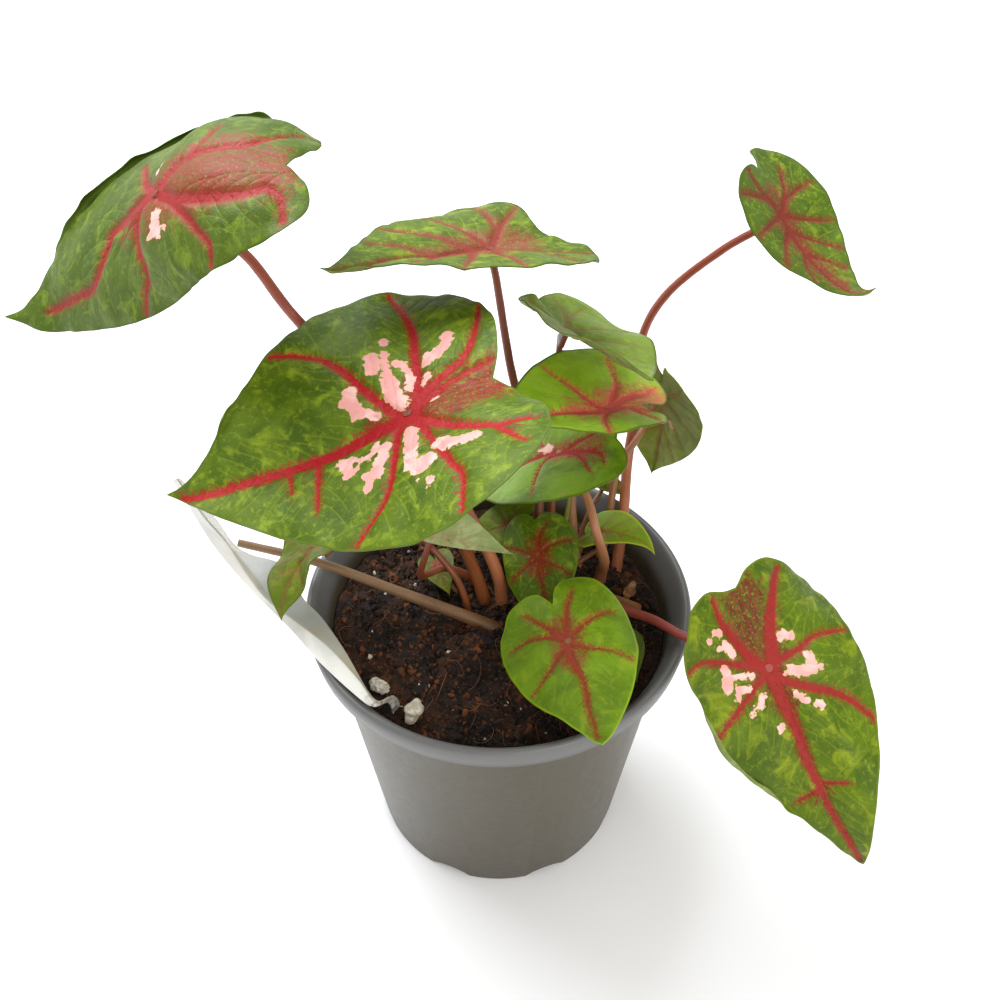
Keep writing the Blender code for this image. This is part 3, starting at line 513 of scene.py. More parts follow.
def spine(blade, lobe_bend, along):
    """Place, side direction and up direction of the midrib's line at distances along it."""
    length = blade["length"]
    forward = np.linspace(0.0, length, 60)
    back = np.linspace(0.0, -1.3 * length * max(blade["lobe"], 0.3), 60)
    results = []
    for line, to_tip in ((forward, True), (back, False)):
        share = line / length
        if to_tip:
            late = np.clip((share - 0.7) / 0.3, 0.0, 1.0)
            ease = late * late * (3.0 - 2.0 * late)
            rise = np.radians(blade["bend"]) * share + np.radians(blade["curl"]) * ease
        else:
            rise = np.radians(lobe_bend) * line / (blade["lobe"] * length)
        turn = np.radians(blade["sweep"]) * share
        twist = np.radians(blade["twist"]) * share
        ahead = np.stack([np.cos(rise) * np.cos(turn), np.cos(rise) * np.sin(turn),
                          np.sin(rise)], axis=1)
        middle = ahead.copy()
        middle[1:] = 0.5 * (ahead[1:] + ahead[:-1])
        place = np.cumsum(middle * np.diff(line, prepend=0.0)[:, None], axis=0)
        level = np.stack([-np.sin(turn), np.cos(turn), 0.0 * turn], axis=1)
        upright = np.cross(ahead, level)
        side = level * np.cos(twist)[:, None] + upright * np.sin(twist)[:, None]
        results.append((np.abs(line), place, side, np.cross(ahead, side)))
    sampled = []
    for kind in (1, 2, 3):
        front, rear = [
            np.stack([np.interp(sign * along, res[0], res[kind][:, k]) for k in range(3)], axis=1)
            for sign, res in ((1.0, results[0]), (-1.0, results[1]))
        ]
        sampled.append(np.where((along >= 0.0)[:, None], front, rear))
    return sampled


def blade_turn(blade):
    heading = Matrix.Rotation(math.radians(blade["heading"]), 3, "Z")
    pitch = Matrix.Rotation(math.radians(-blade["pitch"]), 3, "Y")
    roll = Matrix.Rotation(math.radians(blade["roll"]), 3, "X")
    return heading @ pitch @ roll


def blade_points(blade, flat, share):
    """Flat blade points, with their share of the way out to the edge, set in space."""
    half_width = blade["width"] * blade["length"]
    x = flat[:, 0]
    y = flat[:, 1]
    on_left = y >= 0.0
    out = np.abs(y) / half_width
    fold = np.radians(np.where(on_left, blade["fold_left"], blade["fold_right"]))
    arch = np.radians(np.where(on_left, blade["arch_left"], blade["arch_right"]))
    across = half_width * (np.sin(fold + arch * out) - np.sin(fold)) / arch * np.sign(y)
    lift = half_width * (np.cos(fold) - np.cos(fold + arch * out)) / arch
    lift = lift + blade["wave"] * share ** 2 * np.sin(blade["waves"] * np.arctan2(y, x))
    blend = np.clip(0.5 + y / (0.6 * half_width), 0.0, 1.0)
    blend = blend * blend * (3.0 - 2.0 * blend)
    points = 0.0
    for weight, bend in ((blend, blade["lobe_bend_left"]),
                         (1.0 - blend, blade["lobe_bend_right"])):
        place, side, up = spine(blade, bend, x)
        points = points + weight[:, None] * (place + side * across[:, None] + up * lift[:, None])
    turn = np.array(blade_turn(blade))
    return (points @ turn.T + np.array(blade["at"])) * MM

# %% [markdown]
# ## Veins, flush and blotches
# The markings lie in each blade's own plane: x runs along the midrib towards the tip and y
# to the leaf's left. The big leaves have veins drawn one by one as they grow on this plant.
# The small and half-hidden ones share one pattern that scales with the blade.

# %% Main veins: half width at the root, then the points it passes
VEINS = {
    "leaf_far_left": (
        (1.5, ((-1, 0), (4, -2), (13, -2), (22, -3), (25, 1), (31, 5), (37, 6), (48, 3), (60, 0))),
        (1.0, ((0, 0), (6, 0), (9, 5), (10, 10), (10, 15), (12, 18), (16, 20), (22, 25))),
        (1.0, ((-2, 2), (-7, 7), (-13, 14), (-17, 19), (-21, 23), (-20, 30))),
        (1.0, ((2, -2), (8, -10), (10, -15), (14, -22))),
        (1.4, ((-2, 0), (-4, -3), (-9, -7), (-20, -7), (-27, -9), (-35, -25))),
        (1.4, ((-3, 3), (-10, 8), (-22, 11), (-31, 11), (-36, 9), (-40, 11), (-43, 17))),
        (0.8, ((-9, -7), (-12, -14), (-13, -22))),
    ),
    "leaf_front_left": (
        (2.3, ((0, 3), (4, 2), (11, 2), (22, 3), (31, 2), (44, 1), (60, 1))),
        (1.2, ((0, 3), (4, -3), (9, -14), (12, -21), (17, -28), (24, -31), (30, -32))),
        (1.3, ((-2, 2), (-4, -4), (-7, -16), (-9, -28), (-8, -42), (-6, -52))),
        (1.3, ((-1, 2), (-5, -3), (-13, -7), (-19, -10), (-24, -18), (-28, -32))),
        (0.9, ((-5, -1), (-15, -4), (-25, -5))),
        (1.3, ((0, 3), (-11, 15), (-18, 21), (-26, 24))),
        (0.8, ((-18, 21), (-22, 33))),
        (1.0, ((1, 3), (4, 7), (7, 15), (10, 22), (14, 27), (24, 34))),
        (1.0, ((0, 3), (-2, 7), (-4, 18), (-6, 28), (-7, 35), (-4, 44))),
        (0.7, ((25, 3), (29, 17))),
        (0.5, ((33, 2), (34, 9))),
    ),
    "leaf_far_front_right": (
        (1.7, ((0, 0), (5, 0), (13, 0), (20, 0), (28, -1), (38, -1), (46, -1), (66, 0))),
        (2.0, ((0, 1), (-4, 3), (-12, 6), (-21, 11), (-28, 16))),
        (1.6, ((0, 0), (-3, -3), (-11, -6), (-18, -8), (-24, -8))),
        (1.0, ((0, -1), (-3, -6), (-7, -14), (-9, -19), (-8, -24))),
        (1.0, ((0, 0), (2, -3), (5, -9), (8, -15), (11, -21))),
        (1.0, ((0, 0), (-1, 4), (-2, 11), (-4, 18), (-2, 29))),
        (1.2, ((1, 0), (4, 2), (9, 8), (14, 15), (19, 19), (23, 21), (28, 23))),
        (0.5, ((36, -1), (38, 7))),
        (0.5, ((38, -2), (39, -9))),
    ),
    "leaf_front": (
        (0.8, ((1, -1), (8, -1), (16, 0), (26, -1), (38, -1))),
        (0.5, ((1, 0), (4, 4), (6, 9), (10, 16))),
        (0.5, ((-1, -1), (-4, -5), (-7, -11), (-8, -17))),
        (0.6, ((-1, -1), (-9, -5), (-16, -9))),
        (0.7, ((-2, 0), (-11, 3), (-18, 7))),
        (0.5, ((-1, 1), (-6, 9), (-8, 16))),
        (0.5, ((2, -2), (8, -8), (12, -15))),
    ),
    "leaf_front_inner": (
        (0.5, ((1, 1), (6, 0), (11, 1), (22, 1))),
        (0.4, ((0, 1), (-6, 1), (-11, 4))),
        (0.4, ((1, 0), (-3, -7), (-6, -12))),
        (0.4, ((2, 0), (5, -6), (8, -11))),
        (0.4, ((2, 1), (4, 5), (8, 12))),
        (0.4, ((0, 1), (-3, 5), (-6, 12))),
    ),
    "leaf_middle": (
        (0.8, ((0, 0), (12, 0), (26, -1), (41, 0))),
        (0.7, ((-1, 2), (-7, -2), (-14, -4), (-20, -9))),
        (0.9, ((-1, 2), (-10, 3), (-16, 5), (-18, 9))),
        (0.5, ((-6, 3), (-10, 6), (-15, 13))),
        (0.6, ((0, 2), (4, 4), (4, 10), (2, 19))),
        (0.6, ((-1, 2), (6, -2), (12, -9), (16, -16))),
    ),
    "leaf_middle_right": (
        (0.8, ((2, 2), (11, 0), (22, 0), (38, 0))),
        (0.7, ((0, 1), (4, -3), (7, -9), (12, -17))),
        (0.7, ((0, 1), (5, 6), (9, 13), (14, 19))),
        (0.8, ((-1, 0), (-5, -5), (-8, -10), (-9, -19))),
        (1.0, ((0, 1), (-8, -3), (-16, -6), (-21, -10))),
        (0.9, ((0, 2), (-6, 1), (-12, 4), (-19, 9))),
        (0.6, ((-6, 1), (-9, 9), (-9, 18))),
    ),
}
# The shared pattern, as shares of the blade's length and of its half width
SHARED_VEINS = (
    (0.9, ((0, 0), (0.3, 0.02), (0.6, -0.02), (0.94, 0))),
    (0.6, ((0.12, 0), (0.26, 0.34), (0.44, 0.66))),
    (0.6, ((0.12, 0), (0.26, -0.34), (0.44, -0.66))),
    (0.4, ((0.34, 0), (0.46, 0.22), (0.60, 0.36))),
    (0.4, ((0.34, 0), (0.46, -0.22), (0.60, -0.36))),
    (0.7, ((0, 0), (0.06, 0.4), (0.14, 0.85))),
    (0.7, ((0, 0), (0.06, -0.4), (0.14, -0.85))),
    (0.8, ((0, 0), (-0.14, 0.25), (-0.26, 0.42), (-0.38, 0.55))),
    (0.8, ((0, 0), (-0.14, -0.25), (-0.26, -0.42), (-0.38, -0.55))),
    (0.5, ((-0.12, 0.22), (-0.17, 0.55), (-0.2, 0.86))),
    (0.5, ((-0.12, -0.22), (-0.17, -0.55), (-0.2, -0.86))),
)

# %% Pink blotches: radius, then the stroke it follows
BLOTCHES = {
    "leaf_front_left": (
        (1.9, ((11.7, -12.9), (12.6, -9), (11.9, -5.3))),
        (1.2, ((14.5, -10.7), (12.3, -6.8), (7.5, -2.1))),
        (2.1, ((3.6, -21.1), (4.1, -17.5))),
        (1.2, ((0.1, -21.4), (1.2, -16), (0.9, -11), (0.9, -7.2))),
        (2.3, ((1.5, -11.3), (1.5, -6.7), (0.6, -3.8))),
        (1.0, ((-1.7, -16.4), (-3.8, -15.3), (-4, -10.9), (-2.6, -6.3))),
        (1.3, ((-1.3, -26.7), (-1.2, -26.2))),
        (1.7, ((-17.1, -20), (-15.8, -16.4), (-13, -14.8), (-9.7, -13.8))),
        (0.9, ((-8.5, -8.7), (-6.8, -7.3))),
        (0.9, ((-8.2, -0.2), (-7.9, 0.1))),
        (2.0, ((-4.8, 17.9), (-7.9, 21.4), (-12.5, 22.8))),
        (1.9, ((0.9, 9.2), (2, 15.7), (3.3, 20.6))),
        (2.4, ((1.4, 23.3), (-0.9, 22.6))),
        (1.1, ((0, 29.4), (0.2, 29.8))),
        (0.6, ((2.7, 27.4), (2.8, 27.6))),
        (1.9, ((19.5, 7.8), (18.4, 11.9))),
        (0.9, ((18.9, 7.1), (13.2, 10), (9.7, 7.3))),
        (1.7, ((8.1, 9.4), (10.8, 14.2), (11.7, 16.4))),
        (1.2, ((11.7, 16.4), (14.8, 15.9))),
        (1.4, ((15.2, 18.8), (15.4, 19.2))),
        (0.6, ((16.2, 11.8), (16.4, 12.0))),
    ),
    "leaf_far_left": (
        (2.1, ((-0.6, 8), (0.4, 10.5))),
        (1.1, ((-0.9, 11.9), (-0.4, 12.6))),
        (1.0, ((3, 11.2), (3.1, 11.4))),
        (0.7, ((-3.6, 12.4), (-3.5, 12.6))),
        (0.4, ((0.4, -10.8), (1.4, -8))),
    ),
    "leaf_far_front_right": (
        (1.1, ((-16, -12.2), (-15.1, -10.3))),
        (0.7, ((-14.3, -15), (-14.2, -14.8))),
        (1.4, ((-11.7, -9.7), (-7.8, -8.6))),
        (0.7, ((-11, -12.2), (-10.8, -12.1))),
        (1.5, ((-3.8, -12.6), (0.7, -14.1))),
        (0.8, ((-1.8, -12.3), (0.1, -5.1))),
        (0.8, ((1.6, -11.2), (3.1, -7.9))),
        (1.0, ((4.3, -12.6), (2.1, -11.4))),
        (1.0, ((6.6, -5.1), (8.5, -7))),
        (0.7, ((9.3, -10), (9.5, -10.1))),
        (1.1, ((16.4, -4.2), (16.7, -4.1))),
        (1.0, ((9.7, 4.3), (12.3, 6.5))),
        (0.9, ((14.4, 8.7), (15.8, 9.5))),
        (1.5, ((2.7, 6), (5.1, 10))),
        (1.5, ((1.1, 12), (4.9, 11.8))),
        (0.9, ((5.3, 14), (5.4, 14.2))),
        (0.7, ((2.6, 4.1), (2.8, 4.2))),
        (1.5, ((-7.3, 7.7), (-6.6, 9.4))),
    ),
    "leaf_middle": ((1.6, ((4.5, -2.5), (8, -3.5))),),
    "leaf_behind_right": ((0.9, ((9, 4), (10, 5))),),
}

# %% Red flush round the stalk's point: radius, then the stroke it follows
FLUSHES = {
    "leaf_front_left": ((6.5, ((-3, 3), (-14, 3), (-25, 0))), (4, ((-2, 2), (-5, -6))),
                        (3.5, ((0, 3), (8, 2)))),
    "leaf_far_left": ((9, ((-3, 2), (-16, 3), (-33, 2))), (5, ((-6, -5), (-24, -8))),
                      (4, ((0, 0), (12, 0)))),
    "leaf_far_front_right": ((6, ((-2, 0), (-12, 0), (-22, 1))), (3.5, ((0, 0), (10, 0)))),
    "leaf_middle_right": ((7, ((-2, 0), (-12, -1), (-20, -3))), (4, ((0, 0), (10, 0)))),
    "leaf_middle": ((5, ((-2, 1), (-12, 2))), (3, ((0, 0), (8, -2)))),
    "leaf_back": ((7, ((-8, 0), (4, 0))), (3.5, ((4, 0), (22, 0)))),
    "leaf_far_right": ((4, ((-6, 0), (8, 0))), (3, ((8, 0), (26, 0)))),
    "leaf_front": ((4.5, ((-5, 0), (6, -1))),),
    "leaf_front_inner": ((3.5, ((-3, 1), (5, 0))),),
}
print("leaves with veins of their own:", len(VEINS))

# %% [markdown]
# ## Fields on the net
# A shader can't know where a drawn vein runs, so the mesh tells it. Each point of the net
# stores its distance to the nearest vein with a sign for the side it lies on, which stays
# exact across the vein's middle however coarse the net is, and the plain distance from the
# vein's edge, which shuts out the false crossings halfway between two veins.

# %% Distances to strokes, and the thin side veins
SIDE_VEIN_STEP = 5.0
SIDE_VEIN_ANGLE = 52.0
SIDE_VEIN_TURN = 24.0
SIDE_VEIN_REACH = 13.0
SIDE_VEIN_STRIDES = 5
SIDE_VEIN_CLEARANCE = 2.4
SIDE_VEIN_HALF_WIDTH = 0.22


def main_veins(name, blade):
    if name in VEINS:
        return VEINS[name]
    length = blade["length"]
    half = blade["width"] * length
    grow = length / 45.0
    return tuple((width * grow, tuple((x * length, y * half) for x, y in line))
                 for width, line in SHARED_VEINS)


def stroke_fields(flat, strokes, taper, smooth=True):
    """For each point: signed distance to the nearest stroke, its half width there, and the
    distance from its edge, in mm. A stroke narrows by the taper towards its end."""
    best = np.full(len(flat), 1e6)
    side = np.zeros(len(flat))
    wide = np.ones(len(flat))
    for width, line in strokes:
        knots = smooth_line(line, 5 * len(line)) if smooth else np.array(line)
        for k in range(len(knots) - 1):
            start = knots[k]
            step = knots[k + 1] - start
            offset = flat - start
            along = np.clip(offset @ step / max(step @ step, 1e-9), 0.0, 1.0)
            gap = np.linalg.norm(offset - along[:, None] * step, axis=1)
            share = (k + along) / (len(knots) - 1)
            half = width * (1.0 - taper * share ** 1.3)
            nearer = gap - half < best
            best = np.where(nearer, gap - half, best)
            sign = np.where(step[0] * offset[:, 1] - step[1] * offset[:, 0] >= 0.0, 1.0, -1.0)
            side = np.where(nearer, sign * gap, side)
            wide = np.where(nearer, half, wide)
    return side, wide, best


def side_veins(veins, outline):
    """Thin veins that leave each main vein by pairs and bend towards its end."""
    smooth = [smooth_line(line, 8 * len(line)) for width, line in veins]
    found = []
    for index, (width, line) in enumerate(veins):
        knots = even_line([(x, y, 0.0) for x, y in line], SIDE_VEIN_STEP)[:, :2]
        others = np.vstack([outline] + [path for k, path in enumerate(smooth) if k != index])
        for k in range(1, len(knots) - 1):
            ahead = knots[k + 1] - knots[k - 1]
            heading = math.atan2(ahead[1], ahead[0])
            for hand in (1.0, -1.0):
                place = knots[k] + ahead * (0.25 if hand > 0 else 0.0)
                path = [place]
                for stride in range(SIDE_VEIN_STRIDES):
                    share = stride / (SIDE_VEIN_STRIDES - 1)
                    angle = math.radians(SIDE_VEIN_ANGLE - SIDE_VEIN_TURN * share)
                    angle = heading + hand * angle
                    stride_length = SIDE_VEIN_REACH / SIDE_VEIN_STRIDES
                    place = place + stride_length * np.array((math.cos(angle), math.sin(angle)))
                    if np.linalg.norm(others - place, axis=1).min() < SIDE_VEIN_CLEARANCE:
                        break
                    path.append(place)
                if len(path) > 2:
                    found.append((SIDE_VEIN_HALF_WIDTH, tuple(map(tuple, path))))
    return tuple(found)


# %% [markdown]
# ## The fine blade
# The net runs in rings from the stalk's point to the edge. Its two faces lie half the
# thickness above and below the bent sheet, and the thickness runs out towards the edge.
# Veins are grooves on the upper face and ridges below, so one relief moves both faces.
# The leaf also waves gently, most of all at its edge, and on three old leaves part of the
# edge has rolled up over the face, which shows the pale underside.

# %% Build one blade with its relief and its fields
THICKNESS = 0.55
EDGE_THICKNESS = 0.3
GROOVE_DEPTH = 0.42
SWELL = 0.55
SWELL_REACH = 3.5
GROOVE_WIDTH = 0.8
FINE_GROOVE = 0.08
FINE_GROOVE_WIDTH = 0.5
FINE_SWELL = 0.12
FINE_SWELL_REACH = 1.2
RELIEF_MARGIN = 3.0
THIN_MARGIN = 2.0
FULL_RELIEF_LENGTH = 60.0
MAIN_TAPER = 0.97
BOLD_TAPER = 0.72
FINE_TAPER = 0.6
BIG_LEAVES = ("leaf_far_left", "leaf_front_left", "leaf_far_front_right")
NO_BLOTCH = ((0.1, ((0, 500), (1, 500))),)
NO_FLUSH = ((1.5, ((-1, 0), (1, 0))),)
WAVE_LENGTH = 13.0
WAVE_HEIGHT = 0.9
EDGE_WAVE_LENGTH = 6.0
EDGE_WAVE_HEIGHT = 1.1
EDGE_WAVE_REACH = 4.0
RING_CROWDING = 0.85
ROLL_START = 0.975
ROLL_RINGS = 9
ROLL_FADE = 14.0
# Part of the edge that rolls up: from and to what angle about the stalk's point, how far
ROLLS = {
    "leaf_far_left": ((-112, -14, 170),),
    "leaf_front_left": ((-34, -6, 150),),
    "leaf_far_front_right": ((-96, -8, 180),),
}


def rolled(rows, normal, onward, outline, shares, rolls, seed):
    """The sheet's rows and normals with part of the edge rolled up over the upper face."""
    angles = np.degrees(np.arctan2(outline[:, 1], outline[:, 0]))
    turn = np.full(len(outline), 0.01)
    for low, high, most in rolls:
        inside = np.clip(np.minimum(angles - low, high - angles) / ROLL_FADE, 0.0, 1.0)
        uneven = np.array([noise.noise((x / 9.0, y / 9.0, seed)) for x, y in outline])
        turn += math.radians(most) * inside * (1.0 + 0.5 * uneven)
    start = int(np.searchsorted(shares, ROLL_START))
    first = rows[start].copy()
    along = onward[start] / np.linalg.norm(onward[start], axis=1, keepdims=True)
    up = normal[start].copy()
    away = np.cross(along, up)
    strip = rows[-1] - first
    reach = (strip * away).sum(axis=1, keepdims=True)
    sideways = strip - reach * away
    radius = reach / np.sin(np.minimum(turn, math.pi / 2))[:, None]
    for ring in range(start, len(shares)):
        share = (shares[ring] - shares[start]) / (1.0 - shares[start])
        angle = (turn * share)[:, None]
        rows[ring] = (first + sideways * share + away * radius * np.sin(angle)
                      + up * np.abs(radius) * (1.0 - np.cos(angle)))
        normal[ring] = up * np.cos(angle) - away * np.sign(reach) * np.sin(angle)
    return rows, normal


def box_clip(points):
    """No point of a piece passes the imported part's box."""
    return np.clip(points, np.array(cad_low) + 0.01 * MM, np.array(cad_high) - 0.01 * MM)


def write_field(mesh, label, values):
    layer = mesh.attributes.new(label, "FLOAT", "POINT")
    layer.data.foreach_set("value", values.astype(np.float32))


def vein_relief(size, far, fine_side, fine_far, edge_gap):
    """Height in mm over the sheet: grooves along the veins and swells between them."""
    relief = -GROOVE_DEPTH * size * np.exp(-np.maximum(far, 0.0) ** 2 / (GROOVE_WIDTH * size) ** 2)
    relief += SWELL * size * (1.0 - np.exp(-np.maximum(far, 0.0) / (SWELL_REACH * size)))
    relief -= FINE_GROOVE * size * np.exp(-fine_side ** 2 / FINE_GROOVE_WIDTH ** 2)
    relief += FINE_SWELL * size * (1.0 - np.exp(-np.maximum(fine_far, 0.0) / FINE_SWELL_REACH))
    return (relief - SWELL * size) * np.clip(edge_gap / RELIEF_MARGIN, 0.0, 1.0) ** 0.5


def waves(size, flat, share, edge_gap, index):
    """Gentle waves over the whole blade, and shorter ones that grow towards its edge."""
    wave = [noise.noise((x / WAVE_LENGTH, y / WAVE_LENGTH, 3.1 * index)) for x, y in flat]
    ripple = [noise.noise((x / EDGE_WAVE_LENGTH, y / EDGE_WAVE_LENGTH, 50.0 + 2.3 * index))
              for x, y in flat]
    height = WAVE_HEIGHT * size * np.array(wave) * np.clip(share * 3.0, 0.0, 1.0)
    at_edge = np.exp(-edge_gap / EDGE_WAVE_REACH)
    return height + EDGE_WAVE_HEIGHT * size * np.array(ripple) * at_edge


def net_faces(around, rings):
    """Faces of the upper sheet, the lower one and the rim, and how many one sheet has."""
    count = 1 + rings * around
    i = np.arange(around)
    after = (i + 1) % around
    upper_faces = np.stack([np.zeros(around, int), 1 + i, 1 + after], axis=1).tolist()
    for inner in range(1, 1 + (rings - 1) * around, around):
        outer = inner + around
        ring = np.stack([inner + i, outer + i, outer + after, inner + after], axis=1)
        upper_faces += ring.tolist()
    lower_faces = [[corner + count for corner in reversed(face)] for face in upper_faces]
    last = 1 + (rings - 1) * around
    rim = np.stack([last + i, count + last + i, count + last + after, last + after], axis=1)
    return upper_faces + lower_faces + rim.tolist(), len(upper_faces)


def fine_blade(name, leaf, around, rings, index):
    blade = {**BLADE, **leaf["blade"], "around": around}
    outline = flat_outline(blade)
    around = len(outline)
    shares = (np.arange(1, rings + 1) / rings) ** RING_CROWDING
    if name in ROLLS:
        inner = shares[shares < ROLL_START]
        shares = np.concatenate([inner, np.linspace(ROLL_START, 1.0, ROLL_RINGS)])
        rings = len(shares)
    flat = np.vstack([[(0.0, 0.0)], *[outline * share for share in shares]])
    share = np.concatenate([[0.0], np.repeat(shares, around)])
    reach = np.concatenate([[20.0], np.tile(np.linalg.norm(outline, axis=1), rings)])
    edge_gap = (1.0 - share) * reach

    veins = main_veins(name, blade)
    side, wide, far = stroke_fields(flat, veins, BOLD_TAPER if name in BIG_LEAVES else MAIN_TAPER)
    fine = side_veins(veins, outline)
    fine_side, _, fine_far = stroke_fields(flat, fine, FINE_TAPER, smooth=False)
    blotch = -stroke_fields(flat, BLOTCHES.get(name, NO_BLOTCH), 0.0)[2]
    flushes = FLUSHES.get(name, NO_FLUSH)
    flush_far = stroke_fields(flat, flushes, 0.0)[2]
    flush_size = max(radius for radius, line in flushes)

    sheet = blade_points(blade, flat, share) / MM
    rows = sheet[1:].reshape(rings, around, 3)
    from_middle = np.concatenate([np.repeat(sheet[:1], around, 0)[None], rows])
    outward = np.gradient(from_middle, axis=0)[1:]
    onward = np.roll(rows, -1, axis=1) - np.roll(rows, 1, axis=1)
    normal = np.cross(outward, onward)
    normal /= np.maximum(np.linalg.norm(normal, axis=2, keepdims=True), 1e-9)
    first = normal[0].mean(axis=0)
    if name in ROLLS:
        rows, normal = rolled(rows.copy(), normal, onward, outline, shares, ROLLS[name], index)
    sheet = np.vstack([sheet[:1], rows.reshape(-1, 3)])
    normals = np.vstack([[first / np.linalg.norm(first)], normal.reshape(-1, 3)])

    size = min(1.0, blade["length"] / FULL_RELIEF_LENGTH)
    relief = vein_relief(size, far, fine_side, fine_far, edge_gap)
    relief += waves(size, flat, share, edge_gap, index)
    relief[0] = relief[1:around + 1].mean()
    inward = np.clip(edge_gap / THIN_MARGIN, 0.0, 1.0)
    thick = EDGE_THICKNESS + (THICKNESS - EDGE_THICKNESS) * inward
    top = box_clip((sheet + normals * (relief + 0.5 * thick)[:, None]) * MM)
    low = box_clip((sheet + normals * (relief - 0.5 * thick)[:, None]) * MM)

    faces, face_count = net_faces(around, rings)
    mesh = bpy.data.meshes.new(name)
    mesh.from_pydata(np.vstack([top, low]).tolist(), [], faces)
    is_lower = np.zeros(len(faces), np.int32)
    is_lower[face_count:2 * face_count] = 1
    mesh.polygons.foreach_set("material_index", is_lower)
    twice = dict(vein_side=side, vein_width=wide, vein_far=far, fine_side=fine_side,
                 fine_far=fine_far, blotch=blotch, margin=edge_gap,
                 flush=np.clip(-flush_far / flush_size, -1.0, 1.0))
    for label, values in twice.items():
        write_field(mesh, label, np.tile(values, 2))
    away = np.maximum(np.linalg.norm(flat, axis=1, keepdims=True), 0.1)
    streak = mesh.attributes.new("streak", "FLOAT_VECTOR", "POINT")
    streak.data.foreach_set("vector", np.tile(np.hstack([flat / away, away / 60.0]),
                                              (2, 1)).astype(np.float32).ravel())
    layer = mesh.uv_layers.new(name="UVMap")
    corners = np.zeros(len(mesh.loops), np.int32)
    mesh.loops.foreach_get("vertex_index", corners)
    spread = np.tile(flat / 100.0 + (index * 1.7, index * 0.9), (2, 1))[corners]
    layer.data.foreach_set("uv", spread.astype(np.float32).ravel())
    mesh.shade_smooth()
    mesh.update()
    return mesh


# %% [markdown]
# ## Leaf finishes
# The upper face is a clouded green with darker and yellower patches. Red bleeds out of the
# veins in specks that thin out over two or three millimetres. The flush round the stalk's
# point is made of streaks that run outward and of red and golden specks. The pink blotches
# have ragged, lobed edges with a cream line round them. The lower face is paler, with the
# veins standing out.

# %% The pattern groups of the two faces
def vein_masks(tree, vector, spread, strength):
    """Masks of the veins' red middle, the specks beside it and the thin side veins."""
    inside = calc(tree, "SUBTRACT", field(tree, "vein_width"),
                  calc(tree, "ABSOLUTE", field(tree, "vein_side")))
    guard = times(tree, ramp(tree, field(tree, "vein_far"), 2.2, 3.4, 1.0, 0.0), strength)
    core = use_group(tree, ragged, vector=vector, field=inside, scale=120.0, raggedness=2.4,
                     softness=0.3)["Mask"]
    wider = calc(tree, "ADD", inside, spread)
    specks = use_group(tree, ragged, vector=shifted(tree, vector, (3.1, 0.7, 0.0)), field=wider,
                       scale=105.0, raggedness=9.0, softness=0.35)["Mask"]
    thin = ramp(tree, calc(tree, "ABSOLUTE", field(tree, "fine_side")), 0.1, 0.42, 1.0, 0.0)
    thin = times(tree, thin, ramp(tree, field(tree, "fine_far"), 0.5, 1.0, 1.0, 0.0))
    return times(tree, core, guard), times(tree, specks, guard), thin


upper, u_in, u_out = new_group(
    "upper_face",
    (("Green", "Color", (0.2, 0.3, 0.05, 1)), ("Second green", "Color", (0.15, 0.25, 0.05, 1)),
     ("Yellow", "Color", (0.4, 0.42, 0.08, 1)), ("Vein", "Color", (0.5, 0.06, 0.06, 1)),
     ("Flush", "Color", (0.3, 0.1, 0.06, 1)), ("Blotch", "Color", (0.8, 0.4, 0.36, 1)),
     ("Margin", "Color", (0.2, 0.3, 0.03, 1)), ("Spread", "Float", 0.6),
     ("Spots", "Float", 0.5), ("Strength", "Float", 1.0)),
    (("Colour", "Color"), ("Rough", "Float"), ("Height", "Float")))
leaf_uv = add_node(upper, "ShaderNodeTexCoord").outputs["UV"]
cloud = use_group(upper, clouded, vector=leaf_uv, scale=9.0, low=0.32, high=0.68)
patchy = use_group(upper, clouded, vector=shifted(upper, leaf_uv, (0.4, 6.2, 0.0)), scale=17.0,
                   low=0.5, high=0.72)
core, specks, thin = vein_masks(upper, leaf_uv, u_in["Spread"], u_in["Strength"])
face = mix_colours(upper, cloud["Mask"], u_in["Green"], u_in["Second green"])
bright = times(upper, patchy["Mask"], u_in["Spots"])
face = mix_colours(upper, bright, face, u_in["Yellow"])
spotty = ramp(upper, grain(upper, leaf_uv, 60.0, 3.0, 0.65), 0.52, 0.74)
face = mix_colours(upper, times(upper, times(upper, spotty, u_in["Spots"]), 0.8), face,
                   u_in["Yellow"])
dark_specks = ramp(upper, grain(upper, shifted(upper, leaf_uv, (8.1, 2.2, 0.0)), 95.0, 3.0, 0.7),
                   0.54, 0.72, 0.0, 0.4)
face = mix_colours(upper, dark_specks, face, u_in["Second green"])
lighter = mix_colours(upper, 0.45, face, u_in["Yellow"])
face = mix_colours(upper, times(upper, thin, 0.5), face, lighter)
streak_place = add_node(upper, "ShaderNodeAttribute", attribute_name="streak").outputs["Vector"]
streaks = ramp(upper, grain(upper, streak_place, 11.0, 4.0, 0.65), 0.4, 0.6)
flush_mask = use_group(upper, ragged, vector=leaf_uv, field=field(upper, "flush"), scale=55.0,
                       raggedness=2.6, softness=0.45)["Mask"]
washed = times(upper, flush_mask, calc(upper, "MULTIPLY_ADD", streaks, 0.4, 0.52))
face = mix_colours(upper, washed, face, u_in["Flush"])
red_grain = ramp(upper, grain(upper, shifted(upper, leaf_uv, (2.7, 9.4, 0.0)), 90.0, 4.0, 0.7),
                 0.5, 0.6)
face = mix_colours(upper, times(upper, times(upper, red_grain, flush_mask), 0.75), face,
                   u_in["Vein"])
gold_grain = ramp(upper, grain(upper, shifted(upper, leaf_uv, (5.5, 1.6, 0.0)), 120.0, 3.0, 0.7),
                  0.56, 0.66)
